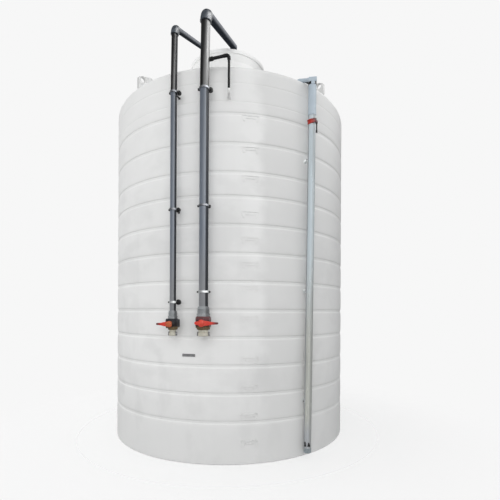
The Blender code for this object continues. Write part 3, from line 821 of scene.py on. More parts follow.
def finishes():
    """Every shared finish by name, made once."""
    if FINISHES:
        return FINISHES
    colours = bpy.context.scene.tank_colours
    # The lugs: the shell's colour darkened, painted shade for their shaded faces
    lug_shade_tone = tone(colours.shell, 0.88)
    FINISHES.update(
        shell=shell_finish(colours.shell),
        # The manway's collar and cover: the shell's finish made paler, painted light for the bright
        # light that falls on them
        manway=shell_finish(tone(colours.shell, 1.14), "manway_painted_light_finish"),
        pipe=riser_finish(colours.pipe),
        run=pipe_finish("run_pipe_finish", tone(colours.pipe, 0.20), 0.0, (30.0, 2.0, 6.0)),
        vent=pipe_finish("vent_pipe_finish", colours.vent, 0.15),
        gauge=pipe_finish("gauge_pipe_finish", colours.gauge, 0.12),
        fitting=cast_finish("fitting_finish", colours.fitting, 0.28, 0.7),
        union=cast_finish("union_finish", colours.union, 0.30, 0.4, 1.5),
        lug=cast_finish("shaded_lug_finish", lug_shade_tone, 0.42, 0.0, 1.1),
        standoff=cast_finish("standoff_finish", colours.vent, 0.45),
        outlet=cast_finish("outlet_finish", colours.outlet, 0.42, 0.05, 1.25),
        foot=cast_finish("foot_finish", (0.27, 0.31, 0.33), 0.4, 0.0, 1.7),
        plate=cast_finish("plate_finish", colours.plate, 0.4, 0.0, 1.7),
        nozzle=cast_finish("nozzle_finish", (0.84, 0.84, 0.83), 0.42, 0.0, 1.05),
        clip=metal_finish("clip_band_finish", colours.clip, 0.46),
        strap=metal_finish("strap_finish", (0.27, 0.28, 0.30), 0.42),
        tube=clear_finish("gauge_tube_finish", colours.tube),
    )
    return FINISHES


# Shell


def ring_heights(sizes):
    """Middles of the moulded rings. Each hangs just under the line that its upper edge draws."""
    return [share * sizes.radius - 0.7 * sizes.ring_half_height for share in RING_SHARES]


def eased(share):
    """0 to 1 with level ends."""
    share = max(0.0, min(1.0, share))
    return share * share * (3.0 - 2.0 * share)


def ring_share(offset):
    """How deep in its ring a point is: a steep upper edge, a flat bottom and a gentler lower edge."""
    return eased((1.0 - offset) / 0.42) * eased((1.0 + offset) / 0.62)


def wall_radius(sizes, height):
    """The wall's outer radius: swelling bands with a moulded ring set in between each two."""
    radius = sizes.radius - INSET
    for ring in ring_heights(sizes):
        offset = (height - ring) / sizes.ring_half_height
        if abs(offset) < 1.0:
            return radius - sizes.band_bulge - (sizes.ring_depth - sizes.band_bulge) * ring_share(offset)
    edges = [sizes.foot_rounding] + ring_heights(sizes) + [SHOULDER_START * sizes.radius]
    for low, high in zip(edges, edges[1:]):
        if low <= height <= high:
            low += sizes.ring_half_height if low != edges[0] else 0.0
            high -= sizes.ring_half_height if high != edges[-1] else 0.0
            middle = (low + high) / 2
            share = (height - middle) / (high - middle)
            if (low == edges[0] and share < 0) or (high == edges[-1] and share > 0):
                share = 0.0
            radius -= sizes.band_bulge * share**4
    for share in CREASE_SHARES:
        offset = abs(height - share * sizes.radius) / CREASE_HALF_HEIGHT
        if offset < 1.0:
            radius -= CREASE_DEPTH * (0.5 + 0.5 * math.cos(math.pi * offset))
    return radius


def wall_heights(sizes):
    """Heights at which the wall's profile bends enough to need a point."""
    rings = ring_heights(sizes)
    heights = []
    for ring in rings:
        for step in range(-10, 11):
            heights.append(ring + sizes.ring_half_height * step / 10)
    for low, high in zip([sizes.foot_rounding] + rings, rings + [SHOULDER_START * sizes.radius]):
        for step in range(1, 8):
            height = low + (high - low) * step / 8
            if min(abs(height - ring) for ring in rings) > sizes.ring_half_height * 1.02:
                heights.append(height)
    for share in CREASE_SHARES:
        for step in range(-4, 5):
            heights.append(share * sizes.radius + CREASE_HALF_HEIGHT * step / 4)
    return sorted(heights)


def roof_height(sizes, radius):
    """Height of the roof's outer face on its straight slope."""
    rounding = SHOULDER_ROUNDING * sizes.radius
    slope_start = sizes.radius - rounding * (1 - math.sin(ROOF_PITCH))
    slope_height = SHOULDER_START * sizes.radius + rounding * math.cos(ROOF_PITCH)
    return slope_height + (slope_start - radius) * math.tan(ROOF_PITCH)


def shell_profile(sizes):
    radius = sizes.radius - INSET
    foot = sizes.foot_rounding
    profile = [(0.0, 0.0), (radius - foot - 0.02, 0.0)]
    profile += arc((radius - foot, foot), foot, -90, 0, 10)
    profile += [(wall_radius(sizes, height), height) for height in wall_heights(sizes)]
    rounding = SHOULDER_ROUNDING * sizes.radius
    middle = (radius - rounding, SHOULDER_START * sizes.radius)
    profile += arc(middle, rounding, 0, 90 - math.degrees(ROOF_PITCH), 9)
    crown_radius = CROWN_SHARE * sizes.radius
    crown = roof_height(sizes, crown_radius)
    for share in (0.15, 0.3, 0.45, 0.6, 0.75, 0.9):
        reach = radius - rounding + (crown_radius - radius + rounding) * share
        profile.append((reach, roof_height(sizes, reach)))
    fillet = 0.12
    tangent = fillet * math.tan(ROOF_PITCH / 2)
    centre = (crown_radius - tangent, crown - fillet)
    profile += arc(centre, fillet, 90 - math.degrees(ROOF_PITCH), 90, 6)
    return profile + [(0.0, crown)]


def darkening(sizes, height):
    """Painted shade under a ring's upper edge, as 0 to 1, and a painted highlight on its lower edge, as
    0 to -1; a crease gets painted shade.
    """
    for ring in ring_heights(sizes):
        offset = (height - ring) / sizes.ring_half_height
        if abs(offset) <= 1.3:
            upper_edge_shade, lower_edge_highlight = [max(0.0, 1.0 - abs(offset + edge) / 0.42) for edge in (-0.62, 0.85)]
            return upper_edge_shade - lower_edge_highlight
    for share in CREASE_SHARES:
        offset = abs(height - share * sizes.radius) / 0.012
        if offset < 1.0:
            return 0.35 * (1.0 - offset)
    return 0.0


class TANK_OT_shell(bpy.types.Operator):
    """Turn the moulded shell, with its ringed wall, rounded foot and sloping roof"""

    bl_idname = "tank.shell"
    bl_label = "Moulded Shell"

    def execute(self, context):
        sizes = context.scene.tank_shell
        shell = turned("moulded_shell", shell_profile(sizes), sizes.facets, sharp=50.0)
        # Painted shade and highlight of the rings, for the finish to read
        mark_points(shell, "groove_shade_and_highlight", lambda spot: darkening(sizes, spot.z))
        nodes = ["tank_floor", "tank_roof"] + [f"wall_segment_{index}" for index in range(1, 9)]
        settle(shell, "shell", "shell", *nodes)
        return {"FINISHED"}


# Moulded tablets


def frame_outline(half_width, top, bottom, bar):
    """A tablet's raised frame, open below: a bar with a leg that leans in at each end, as (x, z)."""
    cut_corner = bar * 1.2
    lean = 0.018
    right = [
        (half_width - cut_corner, top),
        (half_width, top - cut_corner),
        (half_width - lean, bottom),
        (half_width - lean - bar * 2.2, bottom),
        (half_width - lean - bar * 2.2, bottom + bar),
        (half_width - lean - bar, bottom + bar),
        (half_width - bar, top - cut_corner - bar * 0.4),
        (half_width - bar - cut_corner * 0.5, top - bar),
    ]
    return right + [(-x, z) for x, z in reversed(right)]


def subdivided(piece):
    """Cuts a flat piece's long edges, so that it can follow the wall."""
    select_only(piece)
    bpy.ops.object.mode_set(mode="EDIT")
    bpy.ops.mesh.select_all(action="SELECT")
    bpy.ops.mesh.quads_convert_to_tris()
    bpy.ops.object.mode_set(mode="OBJECT")
    for _ in range(2):
        modify(piece, "SUBSURF", subdivision_type="SIMPLE", levels=1)


def wrap(piece, sizes, height):
    """Bends a flat tablet round the wall: x goes round, z up, and -y stands off."""
    for vertex in piece.data.vertices:
        level = height + vertex.co.z
        turn = math.radians(TABLET_ANGLE) + vertex.co.x / sizes.radius
        reach = wall_radius(sizes, level) + (TABLET_RELIEF if vertex.co.y < 0 else -0.006)
        vertex.co = (reach * math.sin(turn), -reach * math.cos(turn), level)


class TANK_OT_tablets(bpy.types.Operator):
    """Raise the plain tablets that are moulded on the wall, one to a band"""

    bl_idname = "tank.tablets"
    bl_label = "Moulded Tablets"

    def execute(self, context):
        sizes = context.scene.tank_shell
        marks = []
        for number, height in enumerate(TABLET_HEIGHTS):
            inner = oblong(-0.052, -0.012, 0.052, -0.004)
            for index, outline in enumerate((frame_outline(0.096, 0.026, -0.040, 0.010), inner)):
                mark = slab(f"mark_{number}_{index}", outline, -0.004, 0.008)
                subdivided(mark)
                wrap(mark, sizes, height)
                # Each tablet carries painted shade in its finish
                mark_points(mark, "groove_shade_and_highlight", lambda spot: TABLET_SHADE)
                marks.append(mark)
        settle(joined("wall_tablets", marks), "shell", "shell")
        return {"FINISHED"}


# Manway


def middle_of(node):
    low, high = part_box(node)
    return (low + high) / 2


class TANK_OT_manway(bpy.types.Operator):
    """Turn the manway's neck and its bolted lid"""

    bl_idname = "tank.manway"
    bl_label = "Manway"

    def execute(self, context):
        low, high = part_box("manway_neck")
        centre = middle_of("manway_lid")
        radius = (high.x - low.x) / 2
        bottom = low.z - 0.001
        inner = radius - 0.03
        fillet = 0.028
        place = shift(centre.x, centre.y, 0.0)
        neck = [(inner, bottom), (radius + fillet, bottom), (radius + fillet, bottom + 0.006)]
        neck += arc((radius + fillet, bottom + 0.006 + fillet), fillet, 270, 180, 6)
        for share in (0.30, 0.52, 0.74):
            level = bottom + (high.z - bottom) * share
            neck += [(radius, level - 0.014), (radius - 0.005, level - 0.005)]
            neck += [(radius - 0.005, level + 0.005), (radius, level + 0.014)]
        neck += [(radius, high.z), (inner, high.z), (inner, bottom)]
        settle(turned("manway_collar", neck, 128, place), "shell", "manway", "manway_neck")
        low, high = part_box("manway_lid")
        rim = (high.x - low.x) / 2
        top = high.z
        lid = [(0.0, low.z), (rim - 0.006, low.z)]
        lid += arc((rim - 0.006, low.z + 0.006), 0.006, -90, 0, 4)
        lid += arc((rim - 0.014, top - 0.014), 0.014, 0, 90, 5)
        lid += [(rim - 0.075, top), (rim - 0.085, top - 0.012), (rim - 0.115, top - 0.012)]
        lid += [(rim - 0.125, top - 0.002), (0.0, top)]
        settle(turned("manway_cover", lid, 128, place), "shell", "manway", "manway_lid")
        washer = turned("washer", drum(0.018, -0.001, 0.002, 0.0008), 20)
        first = joined("bolt", [nut("bolt", 0.013, 0.0, 0.010, 6, None, 0.001), washer])
        step = 360.0 / MANWAY_BOLTS
        bolts = []
        for index in range(MANWAY_BOLTS):
            turn = spun(step * (index + 0.5))
            bolts.append(copied(first, place @ turn @ shift(rim - 0.043, 0.0, top)))
        bpy.data.objects.remove(first)
        settle(joined("manway_bolts", bolts), "clip", "clip")
        return {"FINISHED"}


# Lifting lugs


class TANK_OT_lugs(bpy.types.Operator):
    """Cut the four lifting lugs, each with its eye and softened edges"""

    bl_idname = "tank.lugs"
    bl_label = "Lifting Lugs"

    def execute(self, context):
        sizes = context.scene.tank_shell
        thickness = LUG_THICKNESS
        eye_reach, eye_height = [share * sizes.radius for share in LUG_EYE_SHARES]
        for index, angle in enumerate(LUG_ANGLES):
            inner, outer = [share * sizes.radius for share in LUG_SHARES]
            inner_base, outer_base = [roof_height(sizes, reach) - 0.012 for reach in (inner, outer)]
            tip = outer + 0.02
            outline = [(-inner, inner_base), (-outer, outer_base), (-tip, outer_base + 0.05)]
            outline += [(-tip, outer_base + 0.158), (-tip + 0.015, outer_base + 0.170)]
            outline += [(-inner - 0.02, inner_base + 0.126), (-inner, inner_base + 0.106)]
            place = spun(angle + 90.0)
            lug = slab(f"lug_{index + 1}", outline, -thickness / 2, thickness, place)
            start = place @ Vector((-eye_reach, -thickness, eye_height))
            across = place.to_3x3() @ Vector((0, 1, 0))
            cut(lug, piped("eye", start, across, LUG_EYE_RADIUS, [("go", 2 * thickness)], sides=28))
            soften(lug, 0.006, 3)
            settle(lug, "shell", "lug", f"lifting_lug_{index + 1}")
        return {"FINISHED"}


# Fill risers


def elbow(name, before, corner, after, size, bend, lines, collar_share=TOP_COLLAR):
    """A bend with a collared socket at each end. Returns the piece and where its ends are."""
    turn = before.angle(after)
    reach = bend * math.tan(turn / 2)
    normal = before.cross(after).normalized()
    start = corner - before * (reach + lines.socket)
    stop = corner + after * (reach + lines.socket)
    collar = size.socket * collar_share
    lip = 0.0020
    mouth = [("taper", lip, collar), ("go", lines.collar - 2 * lip), ("taper", lip, collar - lip)]
    neck = ("go", lines.socket - lines.collar - lip)
    legs = mouth + [("taper", lip, collar - 0.003), neck, ("bend", turn, bend), neck]
    legs += [("taper", lip, collar - lip)] + mouth
    piece = piped(name, start, before, collar - lip, legs, normal, lines.sides)
    return piece, start, stop


class TANK_OT_risers(bpy.types.Operator):
    """Run the two fill lines up the wall and over to the lid"""

    bl_idname = "tank.risers"
    bl_label = "Fill Risers"

    def execute(self, context):
        lines = context.scene.tank_lines
        for key, size in LINES.items():
            clip, corner = line_ends(size)
            drop = Vector(size.drop)
            run = (drop - corner).normalized()
            rise = (corner - clip).normalized()
            over = (f"{key}_bend", rise, corner, run, size, size.bend, lines)
            down = (f"{key}_drop_bend", run, drop, -UP, size, size.drop_bend, lines, DROP_COLLAR)
            bend, foot, run_start = elbow(*over)
            settle(bend, "fitting", "fitting", f"{key}_top_elbow")
            bend, run_end, drop_start = elbow(*down)
            settle(bend, "fitting", "fitting", f"{key}_lid_elbow")
            start = run_start - run * TUCK + Vector((size.lift, 0.0, size.lift))
            span = (run_end - run_start).length + 2 * TUCK
            slope = piped(f"{key}_sloping_run", start, run, size.pipe * RUN_SHARE, [("go", span)])
            # A painted sheen along the run's upper side
            paint_top_sheen(slope, start, run)
            settle(slope, "pipe", "run", f"{key}_run")
            place = round_tank(size.angle, size.distance, 0.0)
            self.upright(key, "riser", size, place, size.union_top - TUCK, TOP_CLIP, True)
            place = frame_on(clip, corner, TOP_CLIP)
            top = (foot - clip).length + TUCK
            self.upright(key, "upper", size, place, -0.001, top, size.shaded_top)
            self.flange(key, size, drop, drop_start)
        return {"FINISHED"}

    def upright(self, key, part, size, place, low, high, shaded):
        """A length of riser, and, where asked, the strip of painted shade that runs up its right side.
        """
        pipe = turned(f"{key}_{part}_pipe", drum(size.pipe, low, high, 0.001), 56, place)
        if shaded:
            # Painted shade down the pipe's right side
            paint_stripe(pipe, "painted_shade", place, *size.shade_span)
        settle(pipe, "pipe", "pipe", f"{key}_riser")

    def flange(self, key, size, drop, drop_start):
        """The stub that passes into the lid, with its flange and bolts."""
        lid_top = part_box("manway_lid")[1].z
        pipe = size.pipe
        wide = pipe + 0.035
        top = drop_start.z + TUCK
        stub = [(0.0, lid_top), (wide, lid_top), (wide, lid_top + 0.016), (wide - 0.004, lid_top + 0.02)]
        stub += [(pipe + 0.010, lid_top + 0.02), (pipe + 0.004, lid_top + 0.028)]
        stub += [(pipe, lid_top + 0.034), (pipe, top), (0.0, top)]
        place = shift(drop.x, drop.y, 0.0)
        parts = [turned("flange", stub, 40, place)]
        for index in range(FLANGE_BOLTS):
            turn = spun(360.0 / FLANGE_BOLTS * index + FLANGE_TURN)
            spot = place @ turn @ shift(wide - 0.012, 0.0, 0.0)
            parts.append(nut("flange_bolt", 0.008, lid_top + 0.018, lid_top + 0.027, 6, spot, 0.0006))
        settle(joined(f"{key}_lid_stub", parts), "fitting", "fitting", f"{key}_lid_flange")


# Clips


class TANK_OT_clips(bpy.types.Operator):
    """Hold each riser off the wall with banded clips on round stand-offs"""

    bl_idname = "tank.clips"
    bl_label = "Pipe Clips"

    def execute(self, context):
        lines = context.scene.tank_lines
        half = lines.clip_height / 2
        for key, size in LINES.items():
            inner = size.pipe + 0.0003
            outer = inner + 0.0065
            for index, height in enumerate(size.clips):
                node = f"{key}_clip_{index + 1}"
                place = round_tank(size.angle, size.distance, height)
                profile = [(inner, -half), (outer - 0.002, -half), (outer, -half + 0.002)]
                profile += [(outer, half - 0.002), (outer - 0.002, half), (inner, half), (inner, -half)]
                band = turned(f"{node}_band", profile, 40, place)
                finish = "clip" if index == 2 else "strap"
                settle(band, "clip", finish, node)
                ears = []
                for side in (-1, 1):
                    x = side * (outer + 0.006)
                    outline = oblong(x - 0.009, -half * 0.9, x + 0.009, half * 0.7)
                    ears.append(slab("ear", outline, -0.004, 0.022, place, 0.0025))
                    spot = place @ shift(x, -0.004, 0.0) @ OUTWARD
                    ears.append(turned("screw", drum(0.0055, 0.0, 0.004, 0.0015), 16, spot))
                boss = size.bosses[index]
                spot = place @ shift(size.pipe * 0.60 + 0.002 + boss, 0.040, 0.0) @ OUTWARD
                ears.append(turned("boss", drum(boss, 0.0, 0.024, 0.004), 32, spot))
                ears.append(self.post(context, size, place))
                settle(joined(f"{node}_standoff", ears), "clip", "standoff", node)
        return {"FINISHED"}

    def post(self, context, size, place):
        """The thin post behind the pipe and its foot on the wall."""
        gap = size.distance - context.scene.tank_shell.radius + 0.012
        start = place @ Vector((0.0, gap, 0.0))
        out = (place.to_3x3() @ Vector((0, -1, 0))).normalized()
        legs = [("go", 0.014), ("taper", 0.003, 0.011), ("taper", 0.002, 0.009)]
        legs += [("go", gap - size.pipe - 0.006 - 0.019 - 0.008), ("taper", 0.003, 0.017), ("go", 0.006)]
        return piped("post", start, out, 0.013, legs, sides=28)


# Valves


def ribbed_union(name, size, place):
    """The ribbed union above a valve, as one turned casting with a fluted nut."""
    low = size.valve_top - 0.002
    radius = size.socket
    tall = size.union_top - low
    shares = [(0.0, 0.0), (1.16, 0.0), (1.16, 0.10), (1.04, 0.14), (1.04, 0.30)]
    for rib in (0.32, 0.45, 0.58, 0.71):
        shares += [(1.01, rib), (1.13, rib + 0.025), (1.13, rib + 0.065), (1.01, rib + 0.095)]
    shares += [(1.02, 0.86), (1.02, 1.0 - 0.003 / tall), (0.97, 1.0), (0.0, 1.0)]
    body = turned(name, scaled(shares, radius, low, tall), 48, place)
    collar = nut("collar", radius * 1.20, low + tall * 0.12, low + tall * 0.29, 18, place)
    return joined(name, [body, collar])


def valve_body(name, size, place):
    """A ball valve: fluted end nuts, a barrel, two side cheeks and the boss for its stem."""
    low, high = size.valve_bottom, size.valve_top
    middle = (low + high) / 2
    tall = high - low
    half = size.valve_width / 2
    depth = 1.3 * size.socket
    girth = min(half, depth)
    shares = [(0.0, 0.0), (0.80, 0.0), (0.88, 0.10), (0.88, 0.22), (0.94, 0.34)]
    shares += [(0.96, 0.50), (0.94, 0.66), (0.88, 0.74), (0.88, 1.0), (0.0, 1.0)]
    parts = [turned(name, scaled(shares, girth, low, tall), 48, place)]
    parts.append(nut("top_nut", girth * 0.985, high - tall * 0.27, high - 0.002, 20, place))
    parts.append(nut("bottom_nut", girth * 0.93, low + 0.004, low + tall * 0.24, 20, place))
    for side in (-1, 1):
        root = girth * 0.5 / half
        shares = ((root, -0.34), (0.92, -0.30), (1.0, -0.20), (1.0, 0.34), (0.94, 0.42), (root, 0.44))
        outline = scaled(shares, side * half, middle, tall)
        parts.append(slab("cheek", outline, -depth * 0.62, depth * 1.24, place, 0.004))
        spot = place @ shift(side * half * 0.86, -depth * 0.40, 0.0)
        post = drum(half * 0.15, middle - tall * 0.36, middle + tall * 0.46, 0.003)
        parts.append(turned("side_post", post, 24, spot))
    spot = place @ shift(0.0, 0.0, middle) @ OUTWARD
    boss = [(0.0, 0.0), (0.030, 0.0), (0.030, depth * 0.96), (0.026, depth + 0.001)]
    boss += [(0.014, depth + 0.002), (0.0137, depth + 0.0052), (0.0, depth + 0.0055)]
    parts.append(turned("boss", boss, 32, spot))
    return joined(name, parts)


def lever_outline(size):
    """A valve's lever seen along its stem: a broad hub, an arm that tapers to its tip, and a tail."""
    side = size.side
    reach, tail, hub = size.reach, size.tail, size.hub
    tip = 0.0105
    upper = [(reach, 0.0)]
    for step in range(1, 5):
        turn = math.pi / 2 * step / 4
        upper.append((reach - tip + tip * math.cos(turn), tip * math.sin(turn)))
    upper.append((reach * 0.62, tip * 1.25))
    upper.append((reach * 0.40, tip * 1.9))
    start = math.asin(tip * 2.5 / hub)
    stop = math.pi - math.asin(0.018 / hub)
    for step in range(13):
        turn = start + (stop - start) * step / 12
        upper.append((hub * math.cos(turn), hub * math.sin(turn)))
    if tail > hub + 0.012:
        upper.append((-tail + 0.012, 0.016))
        upper.append((-tail + 0.003, 0.011))
        upper.append((-tail, 0.004))
    lower = [(x, -z) for x, z in reversed(upper[1:])]
    return [(side * x, z) for x, z in upper + lower]


class TANK_OT_valves(bpy.types.Operator):
    """Fit each line's union and ball valve, with the lever on its own body"""

    bl_idname = "tank.valves"
    bl_label = "Valves"

    def execute(self, context):
        colours = context.scene.tank_colours
        thick = context.scene.tank_lines.handle_thickness
        for key, size in LINES.items():
            place = round_tank(size.angle, size.distance, 0.0)
            union = ribbed_union(f"{key}_ribbed_union", size, place)
            # Painted shade down the union's right side, as on the riser
            paint_stripe(union, "painted_shade", place, *size.shade_span)
            settle(union, "fitting", "union", f"{key}_union")
            body = valve_body(f"{key}_ball_valve", size, place)
            middle = (size.valve_bottom + size.valve_top) / 2
            half = (size.valve_top - size.valve_bottom) / 2
            casting = valve_finish(f"{key}_valve_finish", colours.valve, size.crown, middle, half)
            settle(body, "valve", casting, f"{key}_valve")
            low = 1.3 * size.socket + 0.006
            hub = place @ Vector((0.0, -low, middle))
            outline = scaled(lever_outline(size), 1.0, middle, 1.0)
            lever = slab(f"{key}_lever", outline, -low, -thick, place, 0.0045)
            spot = place @ shift(0.0, -low - thick, middle) @ OUTWARD
            boss = [(0.0, -0.004), (0.027, -0.004), (0.027, 0.002), (0.024, 0.006), (0.017, 0.0088)]
            boss += [(0.009, 0.0098), (0.0, 0.010)]
            boss = turned("lever_boss", boss, 32, spot)
            shares = ((0.16, 0.005), (0.80, 0.004), (0.80, -0.004), (0.16, -0.005))
            outline = scaled(shares, size.side * size.reach, middle, 1.0)
            rib = slab("lever_rib", outline, -low - thick - 0.003, 0.006, place, 0.0015)
            lever = joined(f"{key}_lever", [lever, boss, rib])
            finish = lever_finish(f"{key}_lever_finish", colours.handle, size.hub_tint, hub, size.reach)
            settle(lever, "handle", finish, f"{key}_handle", body=f"{key}_handle_body")
        return {"FINISHED"}


class TANK_OT_outlets(bpy.types.Operator):
    """Hang each line's outlet coupling, with its two cam arms folded down"""

    bl_idname = "tank.outlets"
    bl_label = "Outlet Couplings"

    def execute(self, context):
        for key, size in LINES.items():
            place = round_tank(size.angle, size.distance, 0.0)
            low = size.outlet_bottom
            radius = size.outlet * 0.90
            tall = size.valve_bottom + 0.002 - low
            lip = 0.004
            recess = ((0.0, 0.0), (0.70, 0.0), (0.72, lip), (0.86, lip), (0.88, 0.0))
            profile = scaled(recess, radius, low, 1.0) + arc((radius - lip, low + lip), lip, -90, 0, 3)
            shares = [(1.0, 0.42), (0.95, 0.50), (0.84, 0.56), (0.84, 0.66)]
            shares += [(0.94, 0.70), (0.94, 0.88), (0.86, 1.0), (0.0, 1.0)]
            profile += scaled(shares, radius, low, tall)
            cup = turned(f"{key}_coupling", profile, 48, place)
            settle(cup, "outlet", "outlet", f"{key}_outlet")
            arms = []
            for side in (-1, 1):
                x = side * (radius + 0.003)
                hinge = low + tall * 0.55
                outline = [(x - side * 0.006, hinge + 0.008), (x + side * 0.005, hinge + 0.006)]
                outline += [(x + side * 0.006, hinge - 0.016), (x + side * 0.007, low + 0.004)]
                outline += [(x, low), (x - side * 0.002, hinge - 0.016)]
                arms.append(slab("arm", outline, -0.011, 0.022, place, 0.002))
                pin = place @ shift(x, 0.0, hinge) @ OUTWARD
                arms.append(turned("pin", drum(0.005, -0.015, 0.015, 0.001), 16, pin))
            settle(joined(f"{key}_cam_arms", arms), "outlet", "plate")
        return {"FINISHED"}


# Vent line


class TANK_OT_vent(bpy.types.Operator):
    """Bend the thin black vent line from the large riser down to its nozzle"""

    bl_idname = "tank.vent"
    bl_label = "Vent Line"

    def execute(self, context):
        size = LINES["large"]
        radius, bend = 0.0148, 0.024
        distance, top, start_height = 1.602, 4.063, 3.998
        angle = math.degrees(math.asin(0.052 / distance))
        corner = point_round(angle, distance, top)
        riser = point_on(*line_ends(size), start_height)
        along = (corner - riser).normalized()
        down = -UP
        turn = along.angle(down)
        reach = bend * math.tan(turn / 2)
        normal = along.cross(down).normalized()
        start = riser + along * size.pipe * 0.9
        bottom = 3.730
        first = (corner - start).length - reach
        rim, thin, lip = radius * 1.34, 0.0122, 0.002
        legs = [("go", 0.040), ("taper", lip, radius), ("go", first - 0.040 - 0.020 - 2 * lip)]
        legs += [("taper", lip, radius * 1.16), ("go", 0.020), ("bend", turn, bend), ("go", 0.014)]
        legs += [("taper", lip, thin), ("go", corner.z - reach - 0.016 - bottom)]
        line = piped("vent_pipe", start, along, rim, legs, normal, 28)
        settle(line, "vent", "vent", "vent_line")
        inward = Matrix.Rotation(math.radians(angle), 3, "Z") @ Vector((0, 1, 0))
        drop = Vector((corner.x, corner.y, bottom + 0.004))
        rim = 0.014
        legs = [("taper", 0.002, rim), ("go", 0.010), ("bend", math.pi / 2, 0.024)]
        depth = distance - context.scene.tank_shell.radius - 0.024
        legs += [("go", depth - 0.012), ("taper", 0.001, rim * 1.4), ("go", 0.018)]
        normal = down.cross(inward).normalized()
        nozzle = piped("vent_elbow_nozzle", drop, down, rim - 0.003, legs, normal, 32)
        settle(nozzle, "nozzle", "nozzle", "vent_nozzle")
        return {"FINISHED"}


# Level gauge


def gauge_point(height):
    """The middle of the gauge's line at this height."""
    return point_on(point_round(*GAUGE_FOOT), point_round(*GAUGE_HEAD), height)


def gauge_frame(height):
    """A frame on the gauge's line: Z up the tube and -Y away from the tank."""
    return frame_on(point_round(*GAUGE_FOOT), point_round(*GAUGE_HEAD), height)


def ring_part(inner, outer, half_angle, steps):
    """Part of a flat ring round the front, as (x, y) points."""
    points = []
    turns = [half_angle * (2 * step / steps - 1) for step in range(steps + 1)]
    for radius, way in ((outer, turns), (inner, reversed(turns))):
        points += [(radius * math.sin(turn), -radius * math.cos(turn)) for turn in way]
    return points


